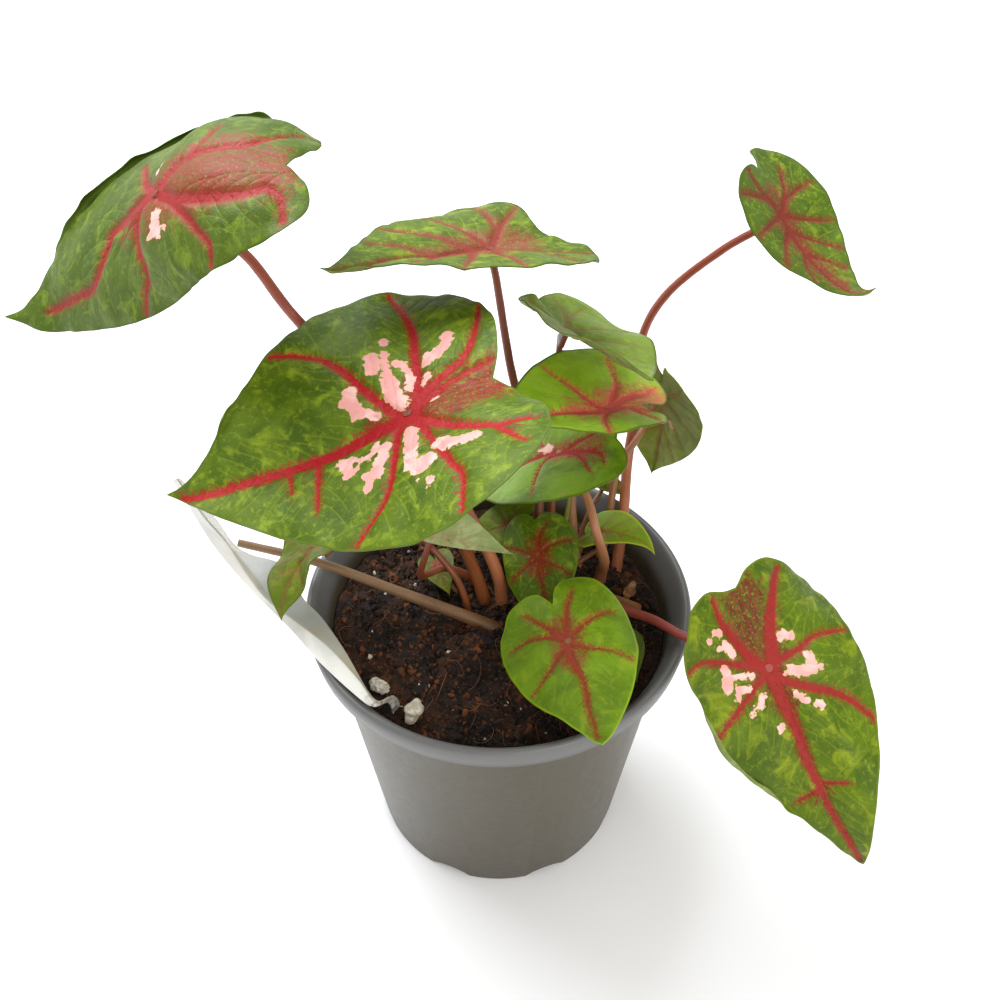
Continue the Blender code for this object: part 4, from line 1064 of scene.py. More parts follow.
face = mix_colours(upper, times(upper, times(upper, gold_grain, flush_mask), 0.7), face,
                   u_in["Yellow"])
face = mix_colours(upper, times(upper, specks, 0.72), face, u_in["Vein"])
face = mix_colours(upper, core, face, u_in["Vein"])
blotch_field = field(upper, "blotch")
ring = use_group(upper, ragged, vector=leaf_uv, field=calc(upper, "ADD", blotch_field, 0.1),
                 scale=48.0, raggedness=4.0, softness=0.12)["Mask"]
patch = use_group(upper, ragged, vector=leaf_uv, field=calc(upper, "ADD", blotch_field, -0.12),
                  scale=48.0, raggedness=4.0, softness=0.14)["Mask"]
cream = mix_colours(upper, 0.45, u_in["Blotch"], (0.75, 0.62, 0.3, 1.0))
face = mix_colours(upper, ring, face, cream)
pink_grain = ramp(upper, cloud["Mask"], 0.2, 0.8, 0.35, 1.0)
pink = mix_colours(upper, pink_grain, u_in["Blotch"], (0.87, 0.52, 0.47, 1.0))
face = mix_colours(upper, patch, face, pink)
edge_band = ramp(upper, field(upper, "margin"), 0.2, 1.0, 1.0, 0.0)
face = mix_colours(upper, edge_band, face, u_in["Margin"])
upper.links.new(face, u_out["Colour"])
shine = calc(upper, "MULTIPLY_ADD", cloud["Fine"], 0.2, 0.38)
upper.links.new(shine, u_out["Rough"])
pebbled = times(upper, grain(upper, leaf_uv, 110.0, 3.0, 0.6), 0.2)
sunk = calc(upper, "MULTIPLY_ADD", thin, -0.06, pebbled)
upper.links.new(calc(upper, "MULTIPLY_ADD", core, -0.08, sunk), u_out["Height"])

under, n_in, n_out = new_group(
    "under_face",
    (("Pale", "Color", (0.3, 0.4, 0.15, 1)), ("Dull", "Color", (0.25, 0.34, 0.12, 1)),
     ("Vein", "Color", (0.4, 0.2, 0.12, 1)), ("Blotch", "Color", (0.7, 0.5, 0.4, 1)),
     ("Strength", "Float", 1.0)),
    (("Colour", "Color"), ("Height", "Float")))
under_uv = add_node(under, "ShaderNodeTexCoord").outputs["UV"]
under_cloud = use_group(under, clouded, vector=under_uv, scale=16.0, low=0.4, high=0.6)
core, specks, thin = vein_masks(under, under_uv, -0.4, n_in["Strength"])
face = mix_colours(under, under_cloud["Mask"], n_in["Pale"], n_in["Dull"])
face = mix_colours(under, times(under, thin, 0.3), face, n_in["Vein"])
face = mix_colours(under, times(under, specks, 0.4), face, n_in["Vein"])
face = mix_colours(under, core, face, n_in["Vein"])
patch = use_group(under, ragged, vector=under_uv, field=field(under, "blotch"), scale=90.0,
                  raggedness=2.0, softness=0.3)["Mask"]
face = mix_colours(under, times(under, patch, 0.6), face, n_in["Blotch"])
under.links.new(face, n_out["Colour"])
raised = calc(under, "MULTIPLY_ADD", thin, 0.12, times(under, core, 0.2))
under.links.new(raised, n_out["Height"])


# %% Finishes of each leaf, as screen colours matched leaf by leaf
LEAF_COLOURS = dict(
    green=(86, 110, 8), second_green=(58, 80, 2), yellow=(138, 158, 30), vein=(164, 18, 26),
    flush=(128, 20, 22), blotch=(226, 142, 138), margin=(84, 104, 18), spread=0.5, spots=0.75,
    strength=1.0,
)
LEAF_TINTS = {
    "leaf_far_left": dict(green=(83, 102, 26), second_green=(66, 87, 13), vein=(150, 42, 39),
                          yellow=(120, 141, 37), flush=(134, 52, 40), margin=(68, 89, 10),
                          spread=0.9),
    "leaf_front_left": dict(green=(90, 112, 15), second_green=(64, 88, 4)),
    "leaf_back": dict(green=(87, 109, 22), second_green=(67, 88, 9), vein=(135, 56, 42),
                      flush=(138, 68, 55), margin=(73, 92, 9), spread=0.9),
    "leaf_far_right": dict(green=(82, 106, 18), second_green=(63, 85, 9), vein=(124, 43, 32),
                           flush=(121, 54, 37), margin=(71, 92, 13), spread=1.0),
    "leaf_upper_middle": dict(green=(114, 137, 46), second_green=(94, 117, 31),
                              vein=(135, 93, 46), spread=0.0, strength=0.6),
    "leaf_middle_right": dict(green=(152, 192, 41), second_green=(123, 162, 25),
                              vein=(194, 75, 65), flush=(190, 93, 76), spread=0.9),
    "leaf_middle": dict(green=(125, 165, 16), second_green=(87, 121, 3), flush=(139, 82, 29)),
    "leaf_behind_right": dict(green=(125, 144, 7), second_green=(107, 128, 4)),
    "leaf_far_front_right": dict(green=(88, 111, 6), second_green=(64, 87, 2),
                                 yellow=(138, 152, 23), vein=(146, 37, 31), flush=(91, 38, 23),
                                 margin=(96, 114, 13), spread=0.6),
    "leaf_front": dict(green=(109, 144, 7), second_green=(88, 118, 3), vein=(146, 52, 30),
                       flush=(126, 56, 28), margin=(134, 165, 16), spread=0.8),
    "leaf_front_inner": dict(green=(79, 106, 2), second_green=(61, 84, 1), vein=(122, 38, 10),
                             flush=(107, 40, 9), margin=(96, 126, 7), spread=0.8),
    "leaf_inner_left": dict(green=(83, 100, 4), second_green=(68, 87, 3), vein=(110, 56, 26),
                            spread=0.0, strength=0.35, spots=0.3),
    "leaf_turned_back": dict(green=(126, 142, 70), second_green=(110, 128, 50), strength=0.3),
    "leaf_inner_right": dict(green=(129, 161, 27), second_green=(111, 145, 17),
                             vein=(163, 66, 40), margin=(169, 183, 46), spread=0.0,
                             strength=0.5, spots=0.5),
    "leaf_over_rim": dict(green=(95, 112, 25), second_green=(81, 97, 16), spread=0.0,
                          vein=(150, 80, 60), strength=0.5, spots=0.5),
    "leaf_behind_rim": dict(green=(70, 88, 14), second_green=(54, 70, 8), strength=0.2,
                            spread=0.0, spots=0.2),
    "leaf_under_front": dict(green=(80, 100, 12), second_green=(64, 84, 8), strength=0.2,
                             spread=0.0, spots=0.3),
    "leaf_low_left": dict(green=(78, 92, 16), second_green=(60, 74, 8), strength=0.2,
                          spread=0.0, spots=0.3),
}
LOWER_FACE_ROUGHNESS = 0.6
LEAF_SHINE = 0.2
UNDER_COLOURS = dict(pale=(134, 146, 84), dull=(112, 126, 62), vein=(168, 110, 78),
                     blotch=(208, 164, 140), strength=0.8)
UNDER_TINTS = {
    "leaf_behind_right": dict(pale=(118, 127, 34), dull=(98, 110, 20), vein=(136, 92, 44)),
    "leaf_turned_back": dict(pale=(150, 160, 108), dull=(126, 140, 84), vein=(166, 112, 92),
                             strength=0.4),
}


def leaf_finishes(name):
    """The finishes of a leaf's upper and lower face."""
    made = []
    for group, face_name, colours in (
            (upper, "upper", {**LEAF_COLOURS, **LEAF_TINTS.get(name, {})}),
            (under, "lower", {**UNDER_COLOURS, **UNDER_TINTS.get(name, {})})):
        finish, tree, shader = new_material(f"{name}_{face_name}")
        values = {key: value if isinstance(value, float) else screen_colour(*value)
                  for key, value in colours.items()}
        found = use_group(tree, group, **values)
        rough = found["Rough"] if "Rough" in found else LOWER_FACE_ROUGHNESS
        shader["Specular IOR Level"].default_value = LEAF_SHINE
        wire_finish(tree, shader, found["Colour"], rough, found["Height"], MM)
        made.append(finish)
    return made


# %% Make every blade
FINENESS = {"leaf_far_left": (340, 60), "leaf_front_left": (340, 64),
            "leaf_far_front_right": (340, 60)}
MIDDLE_FINENESS = (180, 32)
SMALL_FINENESS = (110, 18)
SMALL_LENGTH = 30.0
YOUNG_LEAVES = ("leaf_front", "leaf_front_inner", "leaf_inner_left", "leaf_inner_right",
                "leaf_turned_back", "leaf_low_left", "leaf_under_front")

UNDERSIDE_SEEN = ("leaf_behind_right", "leaf_turned_back")

for index, (name, leaf) in enumerate(LEAVES.items()):
    small = leaf["blade"]["length"] < SMALL_LENGTH
    around, rings = FINENESS.get(name, SMALL_FINENESS if small else MIDDLE_FINENESS)
    blade_piece = add_object(name.replace("leaf_", "blade_"),
                                  fine_blade(name, leaf, around, rings, index))
    finishes = leaf_finishes(name)
    for finish in reversed(finishes) if name in UNDERSIDE_SEEN else finishes:
        blade_piece.data.materials.append(finish)
    seat(blade_piece, "blade_young" if name in YOUNG_LEAVES else "blade_green", name + "_blade")
print("blades:", len(LEAVES))

# %% [markdown]
# ## Stalks
# Each stalk rises from the tuber through the soil, bends out and meets its blade from
# below. A Geometry Nodes tree turns a line of points into a tube: it takes the radius from
# each point, keeps the share of the way along and round for the shader, and roughens the
# skin a little. The same tree later makes the fibres in the soil.

# %% The tube maker
def geometry_tree(name, inputs):
    """An empty geometry tree: (name, type, default) in, one geometry in and out."""
    return new_group(name, (("Geometry", "Geometry", None), *inputs),
                     (("Geometry", "Geometry"),), "GeometryNodeTree")


def store(tree, geometry, label, value):
    made = add_node(tree, "GeometryNodeStoreNamedAttribute",
                    {"Geometry": geometry, "Name": label, "Value": value}, data_type="FLOAT")
    return made.outputs["Geometry"]


def close_tree(tree, geometry, finish, output):
    """Every tree ends with real geometry and its material."""
    real = add_node(tree, "GeometryNodeRealizeInstances", {"Geometry": geometry})
    dressed = add_node(tree, "GeometryNodeSetMaterial", {"Geometry": real.outputs[0],
                                                         "Material": finish})
    tree.links.new(dressed.outputs[0], output)


def grown(name, mesh, tree, **values):
    """The plain mesh that a geometry tree makes from a mesh."""
    source = add_object(name + "_source", mesh)
    modifier = source.modifiers.new("grow", "NODES")
    modifier.node_group = tree
    for item in tree.interface.items_tree:
        key = item.name.lower().replace(" ", "_")
        if item.in_out == "INPUT" and key in values:
            modifier[item.identifier] = values[key]
    made = settled_mesh(source)
    made.name = name
    return made


tube_tree, t_in, t_out = geometry_tree(
    "tube_maker", (("Sides", "Int", 14), ("Roughen", "Float", 0.0), ("Scale", "Float", 200.0),
                   ("Finish", "Material", None)))
line = add_node(tube_tree, "GeometryNodeMeshToCurve", {"Mesh": t_in["Geometry"]})
thickness = add_node(tube_tree, "GeometryNodeInputNamedAttribute", {"Name": "radius"},
                     data_type="FLOAT")
way = add_node(tube_tree, "GeometryNodeSplineParameter").outputs["Factor"]
line = store(tube_tree, line.outputs[0], "along", way)
circle = add_node(tube_tree, "GeometryNodeCurvePrimitiveCircle",
                  {"Resolution": t_in["Sides"], "Radius": 1.0})
turn = add_node(tube_tree, "GeometryNodeSplineParameter").outputs["Factor"]
circle = store(tube_tree, circle.outputs["Curve"], "round", turn)
skin = add_node(tube_tree, "GeometryNodeCurveToMesh",
                {"Curve": line, "Profile Curve": circle, "Fill Caps": True,
                 "Scale": thickness.outputs["Attribute"]})
lumps = add_node(tube_tree, "ShaderNodeTexNoise", {"Scale": t_in["Scale"], "Detail": 2.0})
depth = times(tube_tree, calc(tube_tree, "SUBTRACT", lumps.outputs["Fac"], 0.5), t_in["Roughen"])
outward = add_node(tube_tree, "GeometryNodeInputNormal")
push = add_node(tube_tree, "ShaderNodeVectorMath",
                {0: outward.outputs[0], "Scale": depth}, operation="SCALE")
skin = add_node(tube_tree, "GeometryNodeSetPosition",
                {"Geometry": skin.outputs[0], "Offset": push.outputs[0]})
smooth_skin = add_node(tube_tree, "GeometryNodeSetShadeSmooth", {"Geometry": skin.outputs[0]})
close_tree(tube_tree, smooth_skin.outputs[0], t_in["Finish"], t_out["Geometry"])

# %% [markdown]
# The stalks are red to brown under the blades and fade to a pale tan at the crown, with
# fine streaks along them. One pattern serves every tint.

# %% Stalk finishes
STALK_COLOURS = {
    "pink": ((168, 104, 66), (140, 62, 40)),
    "brown": ((142, 84, 44), (120, 58, 36)),
    "tan": ((166, 116, 70), (132, 84, 44)),
    "green": ((150, 150, 80), (142, 156, 74)),
    "peach": ((176, 112, 78), (166, 112, 74)),
    "cut": ((100, 64, 30), (132, 102, 70)),
    "petiole": ((158, 84, 62), (158, 68, 58)),
}
ROOT_FADE = 0.6
STALK_ROUGHNESS = 0.42

streaky, s_in, s_out = new_group(
    "streaky_skin",
    (("Root", "Color", (0.5, 0.3, 0.2, 1)), ("Top", "Color", (0.4, 0.1, 0.06, 1))),
    (("Colour", "Color"), ("Height", "Float")))
way = field(streaky, "along")
circuit = times(streaky, field(streaky, "round"), 2.0 * math.pi)
wrap = add_node(streaky, "ShaderNodeCombineXYZ", {
    "X": calc(streaky, "COSINE", circuit), "Y": calc(streaky, "SINE", circuit),
    "Z": times(streaky, way, 1.6)}).outputs[0]
streaks = grain(streaky, wrap, 5.0, 4.0, 0.6)
mottled = grain(streaky, object_place(streaky), 260.0, 3.0, 0.6)
fading = calc(streaky, "MULTIPLY_ADD", calc(streaky, "SUBTRACT", mottled, 0.5), 0.35, way)
skin_colour = mix_colours(streaky, ramp(streaky, fading, 0.0, ROOT_FADE), s_in["Root"],
                          s_in["Top"])
darker = mix_colours(streaky, 1.0, skin_colour, (0.62, 0.55, 0.5, 1.0), blend="MULTIPLY")
skin_colour = mix_colours(streaky, ramp(streaky, streaks, 0.45, 0.75), skin_colour, darker)
streaky.links.new(skin_colour, s_out["Colour"])
streaky.links.new(times(streaky, streaks, 0.25), s_out["Height"])


def stalk_finish(tint):
    made, tree, shader = new_material("stalk_skin_" + tint)
    root, top = [screen_colour(*colour) for colour in STALK_COLOURS[tint]]
    found = use_group(tree, streaky, root=root, top=top)
    wire_finish(tree, shader, found["Colour"], STALK_ROUGHNESS, found["Height"], 0.4 * MM)
    return made


stalk_finishes = {tint: stalk_finish(tint) for tint in STALK_COLOURS}

# %% Lines of the stalks, and the stalks themselves
ROOT_HEIGHT = 78.0
COLLAR_HEIGHT = 82.0
NECK = 5.0
TUBE_SIDES = 14
TUBE_ROUGHNESS = 0.25
UNDER_BLADE = 0.25
STALK_POINT_STEP = 1.6
BARE_STALKS = {
    "cut_stalk": dict(root=(2, -3.5), via=((-2, -4, 87), (-32, 3, 96), (-57, 8, 104),
                                           (-81.5, 11.5, 109)), radii=(2.4, 1.2), tint="cut"),
    "stalk_stub": dict(root=(33.5, 10), via=((35, 8, 87), (39, 4, 90), (44, -1, 92.5)),
                       radii=(2.2, 1.4), tint="peach"),
    "rolled_leaf": dict(root=(20, 26), via=((21, 29, 92), (22.5, 32, 103), (23, 32, 112)),
                        radii=(1.6, 0.6), tint="green"),
}


def stalk_line(leaf):
    """Points of a stalk in mm, from the tuber to just under the blade."""
    root_x, root_y = leaf["root"]
    points = [(root_x, root_y, COLLAR_HEIGHT), *leaf["via"]]
    ends = []
    if "blade" in leaf:
        blade = {**BLADE, **leaf["blade"]}
        up = blade_turn(blade) @ Vector((0.0, 0.0, 1.0))
        if leaf.get("underside_out"):
            up = -up
        points.append(tuple(Vector(blade["at"]) - up * leaf.get("neck", NECK)))
        ends.append(tuple(Vector(blade["at"]) - up * UNDER_BLADE))
    return np.vstack([[(root_x, root_y, ROOT_HEIGHT)], even_line(points, STALK_POINT_STEP),
                      *[[end] for end in ends]])


def tube_lines(name, lines, radii):
    """A mesh of open lines whose points carry a radius."""
    points = np.vstack(lines) * MM
    edges = []
    start = 0
    for line in lines:
        edges += [(start + k, start + k + 1) for k in range(len(line) - 1)]
        start += len(line)
    mesh = bpy.data.meshes.new(name + "_line")
    mesh.from_pydata(points.tolist(), edges, [])
    write_field(mesh, "radius", np.concatenate(radii) * MM)
    return mesh


def make_stalk(name, leaf, tint):
    line = stalk_line(leaf)
    share = np.linspace(0.0, 1.0, len(line))
    low, high = leaf["radii"]
    radius = low + (high - low) * share ** 0.7
    mesh = grown(name, tube_lines(name, [line], [radius]), tube_tree, sides=TUBE_SIDES,
                 roughen=TUBE_ROUGHNESS * MM, finish=stalk_finishes[tint])
    return add_object(name, mesh)


OTHER_TINTS = {"leaf_far_front_right": "petiole", "leaf_middle": "peach"}
for name, leaf in LEAVES.items():
    tint = OTHER_TINTS.get(name, leaf["tint"])
    stalk_piece = make_stalk(name.replace("leaf_", "stalk_"), leaf, tint)
    seat(stalk_piece, "stalk_" + leaf["tint"], name + "_stalk")
for name, stalk in BARE_STALKS.items():
    slot_name = {"cut": "stalk_tan", "peach": "stalk_pink", "green": "rolled_green"}[stalk["tint"]]
    seat(make_stalk("bare_" + name, stalk, stalk["tint"]), slot_name, name)
print("stalks:", len(LEAVES) + len(BARE_STALKS))

# %% [markdown]
# ## Pot
# A thin-walled nursery pot is drawn in one pull: a tapered wall with a turned-out lip. The
# profile is turned round the pot's axis, its corners are rounded, and the arches under the
# wall and the drain holes are cut out.

# %% Pot sizes, in millimetres
RIM_RADIUS = 60.0
POT_HEIGHT = 98.0
BASE_RADIUS = 42.0
WALL = 0.9
WALL_TOP_RADIUS = 53.5
WALL_TOP_HEIGHT = 87.0
LIP_DROP = 8.0
LIP_FOOT_RADIUS = 58.9
FLOOR_HEIGHT = 3.8
HUB_RADIUS = 13.2
ARCH_COUNT = 8
ARCH_RADIUS = 9.0
ARCH_HEIGHT = 3.4
ARCH_CUT = 8
FIRST_ARCH_ANGLE = -68.0
DRAIN_COUNT = 8
DRAIN_RING_RADIUS = 28.0
DRAIN_RADIUS = 2.5
DRAIN_CUT = 3
POT_STEPS = 144
ROUNDING = 0.35


def wall_inner_radius(z):
    return BASE_RADIUS + (WALL_TOP_RADIUS - BASE_RADIUS) * z / WALL_TOP_HEIGHT - WALL


POT_PROFILE = (
    (0, WALL + 0.2), (HUB_RADIUS, WALL + 0.2), (HUB_RADIUS + 2.4, FLOOR_HEIGHT + WALL),
    (wall_inner_radius(FLOOR_HEIGHT + WALL) - 0.9, FLOOR_HEIGHT + WALL),
    (wall_inner_radius(FLOOR_HEIGHT + 2.3), FLOOR_HEIGHT + 2.3),
    (wall_inner_radius(WALL_TOP_HEIGHT), WALL_TOP_HEIGHT),
    (53.9, 91.2), (55.0, 93.6), (56.7, 96.4), (57.6, 97.6), (58.6, POT_HEIGHT), (59.6, 97.4),
    (RIM_RADIUS, 96.2), (LIP_FOOT_RADIUS, POT_HEIGHT - LIP_DROP),
    (LIP_FOOT_RADIUS - WALL, POT_HEIGHT - LIP_DROP), (58.7, 94.6), (58.1, 95.4), (57.4, 95.2),
    (56.0, 92.9), (54.8, 90.9), (WALL_TOP_RADIUS, WALL_TOP_HEIGHT - 0.2), (BASE_RADIUS, 0),
    (BASE_RADIUS - WALL, 0), (wall_inner_radius(FLOOR_HEIGHT), FLOOR_HEIGHT),
    (HUB_RADIUS + 3.6, FLOOR_HEIGHT), (HUB_RADIUS + 1.2, 0), (0, 0),
)

# %% Turn, round and cut the pot
def drill(cage, radius, depth, place, tilt=None):
    """Add a cylinder to a cage of cutters, upright or laid along X and then turned."""
    found = bmesh.ops.create_cone(cage, cap_ends=True, segments=32, radius1=radius,
                                  radius2=radius, depth=depth)["verts"]
    if tilt is not None:
        bmesh.ops.rotate(cage, verts=found, matrix=Matrix.Rotation(math.radians(90), 3, "Y"))
    bmesh.ops.translate(cage, verts=found, vec=place)
    if tilt is not None:
        bmesh.ops.rotate(cage, verts=found, matrix=Matrix.Rotation(tilt, 3, "Z"))


profile_mesh = bpy.data.meshes.new("pot_blank")
profile_mesh.from_pydata([(r * MM, 0.0, z * MM) for r, z in POT_PROFILE],
                         [(k, k + 1) for k in range(len(POT_PROFILE) - 1)], [])
pot_blank = add_object("pot_blank", profile_mesh)
screw = pot_blank.modifiers.new("turn", "SCREW")
screw.steps = POT_STEPS
screw.render_steps = POT_STEPS
screw.use_merge_vertices = True
screw.merge_threshold = 0.01 * MM
screw.use_normal_calculate = True
rounding = pot_blank.modifiers.new("round_corners", "BEVEL")
rounding.width = ROUNDING * MM
rounding.segments = 2
rounding.limit_method = "ANGLE"
rounding.angle_limit = math.radians(32)
cage = bmesh.new()
arch_place = (BASE_RADIUS * MM, 0.0, (ARCH_HEIGHT - ARCH_RADIUS) * MM)
for k in range(ARCH_COUNT):
    tilt = math.radians(FIRST_ARCH_ANGLE + 360.0 * k / ARCH_COUNT)
    drill(cage, ARCH_RADIUS * MM, ARCH_CUT * MM, arch_place, tilt)
ring_radius = DRAIN_RING_RADIUS * MM
for k in range(DRAIN_COUNT):
    angle = 2.0 * math.pi * k / DRAIN_COUNT
    drain_place = (ring_radius * math.cos(angle), ring_radius * math.sin(angle),
                   (FLOOR_HEIGHT + 0.5) * MM)
    drill(cage, DRAIN_RADIUS * MM, DRAIN_CUT * MM, drain_place)
holes_mesh = bpy.data.meshes.new("pot_holes")
cage.to_mesh(holes_mesh)
cage.free()
holes = add_object("pot_holes", holes_mesh)
opening = pot_blank.modifiers.new("holes", "BOOLEAN")
opening.operation = "DIFFERENCE"
opening.object = holes
opening.solver = "EXACT"
pot_mesh = settled_mesh(pot_blank)
bpy.data.objects.remove(holes, do_unlink=True)
pot_mesh.shade_smooth()
pot_mesh.set_sharp_from_angle(angle=math.radians(40))
pot_piece = add_object("nursery_pot", pot_mesh)
print("pot faces:", len(pot_mesh.polygons))

# %% [markdown]
# The plastic is a warm satin grey, painted lighter and cooler at the lip as a highlight of the
# light from above, with faint rings from the mould, thin scratches and a trace of dust low on the
# wall.

# %% Pot finish
POT_GREY = screen_colour(68, 62, 46)
# Cool light grey: the painted highlight on the lip, and also the thin scratches
POT_SHEEN_AND_SCRATCH_GREY = screen_colour(98, 98, 97)
POT_DUST = screen_colour(68, 62, 48)
MOULD_RINGS = 5200.0

plastic, tree, shader = new_material("satin_grey_plastic")
place = object_place(tree)
height = add_node(tree, "ShaderNodeSeparateXYZ", {0: place}).outputs["Z"]
cloud = use_group(tree, clouded, vector=place, scale=40.0, low=0.35, high=0.65)
# Painted highlight: the lip turns to the cool light grey with height, as light from above falls on
# it
lip_painted_highlight = ramp(tree, height, 88.0 * MM, 93.0 * MM)
grey = mix_colours(tree, lip_painted_highlight, POT_GREY, POT_SHEEN_AND_SCRATCH_GREY)
low_down = times(tree, ramp(tree, height, 4.0 * MM, 50.0 * MM, 0.55, 0.0), cloud["Mask"])
grey = mix_colours(tree, low_down, grey, POT_DUST)
flattened = add_node(tree, "ShaderNodeVectorMath", {0: place, 1: (1.0, 1.0, 14.0)},
                     operation="MULTIPLY").outputs[0]
scratches = ramp(tree, grain(tree, flattened, 150.0, 6.0, 0.7), 0.66, 0.74)
grey = mix_colours(tree, times(tree, scratches, 0.3), grey, POT_SHEEN_AND_SCRATCH_GREY)
gloss = calc(tree, "MULTIPLY_ADD", cloud["Fine"], 0.14, 0.33)
ripples = times(tree, calc(tree, "SINE", times(tree, height, MOULD_RINGS)), 0.12)
relief = calc(tree, "MULTIPLY_ADD", cloud["Fine"], 0.5, ripples)
wire_finish(tree, shader, grey, gloss, relief, 0.05 * MM)
pot_mesh.materials.clear()
pot_mesh.materials.append(plastic)
seat(pot_piece, "pot_plastic", "pot")

# %% [markdown]
# ## Label
# A long plastic label is creased down its middle, stuck in the soil at the front left, laid
# over the lip and bent up past the big leaf. It carries no print. The half beyond the
# crease has the big leaf's shadow painted on it as a grey band, and thins to a see-through film as
# it rises.

# %% Creased strip from three lines
LABEL_OUTER = (
    (-31, -37, 77), (-32, -38, 92), (-36, -44.3, 98.9), (-42, -39.5, 99.1),
    (-53, -28, 99.3), (-62.5, -16.5, 100), (-72, -8, 104), (-78.5, -4, 110),
    (-86, 1.5, 118), (-91, 5, 128), (-94, 3, 143),
)
LABEL_CREASE = (
    (-30.2, -35.7, 77), (-31, -36.8, 92), (-35.1, -43.4, 99.1), (-40.5, -36, 100.2),
    (-50, -24.5, 100.6), (-59.5, -16, 101.2), (-69.5, -9.5, 105), (-75.5, -5, 111),
    (-82, 1, 120), (-87, 2, 129), (-92.5, 2.5, 144),
)
LABEL_INNER = (
    (-29.2, -34.5, 77), (-30, -35.6, 92), (-34.4, -42.4, 98.9), (-38, -38.5, 99.1),
    (-45.5, -24.5, 99.2), (-53.5, -12, 99.6), (-60, -6, 103), (-66, 2.5, 108),
    (-78, 0.5, 117), (-84, 2, 129), (-91.5, 2.5, 144),
)
LABEL_ALONG = 110
LABEL_ACROSS = 8
LABEL_THICKNESS = 0.5
CREASE_WIDTH = 0.12

edges_and_crease = [smooth_line(line, LABEL_ALONG)
                    for line in (LABEL_OUTER, LABEL_CREASE, LABEL_INNER)]
rows = []
across_share = []
for k in range(2 * LABEL_ACROSS + 1):
    share = k / LABEL_ACROSS
    first = min(int(share), 1)
    inside = share - first
    rows.append(edges_and_crease[first] * (1.0 - inside) + edges_and_crease[first + 1] * inside)
    across_share.append(share - 1.0)
grid = np.array(rows)
strip_faces = [(k * LABEL_ALONG + n, (k + 1) * LABEL_ALONG + n, (k + 1) * LABEL_ALONG + n + 1,
                k * LABEL_ALONG + n + 1)
               for k in range(2 * LABEL_ACROSS) for n in range(LABEL_ALONG - 1)]
strip = bpy.data.meshes.new("label_strip")
strip.from_pydata((grid.reshape(-1, 3) * MM).tolist(), [], strip_faces)
write_field(strip, "across", np.repeat(across_share, LABEL_ALONG))
write_field(strip, "along", np.tile(np.linspace(0.0, 1.0, LABEL_ALONG), 2 * LABEL_ACROSS + 1))
label_blank = add_object("label_blank", strip)
thick = label_blank.modifiers.new("thickness", "SOLIDIFY")
thick.thickness = LABEL_THICKNESS * MM
thick.offset = 0.0
label_mesh = settled_mesh(label_blank)
label_mesh.shade_smooth()
label_mesh.set_sharp_from_angle(angle=math.radians(24))
label_piece = add_object("creased_label", label_mesh)

# %% Label finish: cream one side of the crease, whiter on the other, smudged with soil, with a painted leaf shadow on the far half
LABEL_CREAM = screen_colour(170, 163, 142)
LABEL_WHITE = screen_colour(214, 212, 205)
# Grey for the random clouding all over, and for the painted shadow of the big leaf
LABEL_CLOUD_AND_SHADOW_GREY = screen_colour(172, 176, 172)
# Where along the strip the painted shadow of the big leaf fades in and out
SHADOW_BAND_START = (0.46, 0.5)
SHADOW_BAND_END = (0.74, 0.78)

film, tree, shader = new_material("label_film")
cloud = use_group(tree, clouded, vector=object_place(tree), scale=60.0, low=0.4, high=0.62)
across = field(tree, "across")
tone = mix_colours(tree, ramp(tree, across, -CREASE_WIDTH, CREASE_WIDTH), LABEL_WHITE, LABEL_CREAM)
tone = mix_colours(tree, times(tree, cloud["Mask"], 0.45), tone, LABEL_CLOUD_AND_SHADOW_GREY)
way = field(tree, "along")
low_end = ramp(tree, way, 0.16, 0.3, 1.0, 0.0)
smudge = times(tree, low_end, ramp(tree, cloud["Fine"], 0.5, 0.62))
tone = mix_colours(tree, times(tree, smudge, 0.8), tone, screen_colour(92, 66, 44))
inner_half = ramp(tree, across, 0.0, 2.0 * CREASE_WIDTH)
# Painted shadow: a grey band on the far half where the big leaf shades the label
panel = times(tree, ramp(tree, way, *SHADOW_BAND_START), ramp(tree, way, *SHADOW_BAND_END, 1.0, 0.0))
panel = times(tree, panel, inner_half)
tone = mix_colours(tree, times(tree, panel, 0.85), tone, LABEL_CLOUD_AND_SHADOW_GREY)
clear = times(tree, ramp(tree, way, 0.4, 0.8, 0.0, 0.5), inner_half)
tree.links.new(calc(tree, "SUBTRACT", 1.0, clear), shader["Alpha"])
gloss = calc(tree, "MULTIPLY_ADD", cloud["Fine"], 0.2, 0.22)
wire_finish(tree, shader, tone, gloss, cloud["Mask"], 0.15 * MM)
label_mesh.materials.clear()
label_mesh.materials.append(film)
seat(label_piece, "label_plastic", "plant_label")
print("label faces:", len(label_mesh.polygons))

# %% [markdown]
# ## Soil
# The potting mix is nearly black, with clods, crumbs, reddish coir fibres and a few white
# perlite beads. A closed bed with a lumpy top carries crumbs of four shapes, scattered by
# a tree with fixed seeds.

# %% The bed: low swells, then clods
SOIL_LEVEL = 86.0
SOIL_BASE = FLOOR_HEIGHT + WALL + 0.3
SOIL_GAP = 0.3
SOIL_FOOT_RISE = 1.4
SOIL_AROUND = 240
SOIL_RINGS = 84
CLOD_HEIGHT = 2.2
GRIT_HEIGHT = 0.9


def soil_height(x, y):
    """Height in mm of the packed soil's surface."""
    swell = 0.9 * np.sin(0.13 * x + 0.6) * np.cos(0.11 * y - 0.4)
    ripple = 0.6 * np.sin(0.31 * x - 0.22 * y + 1.0) + 0.4 * np.cos(0.27 * y + 0.35 * x)
    fade = 1.0 - np.minimum(1.0, np.hypot(x, y) / 51.0) ** 4
    return SOIL_LEVEL + (swell + ripple) * fade


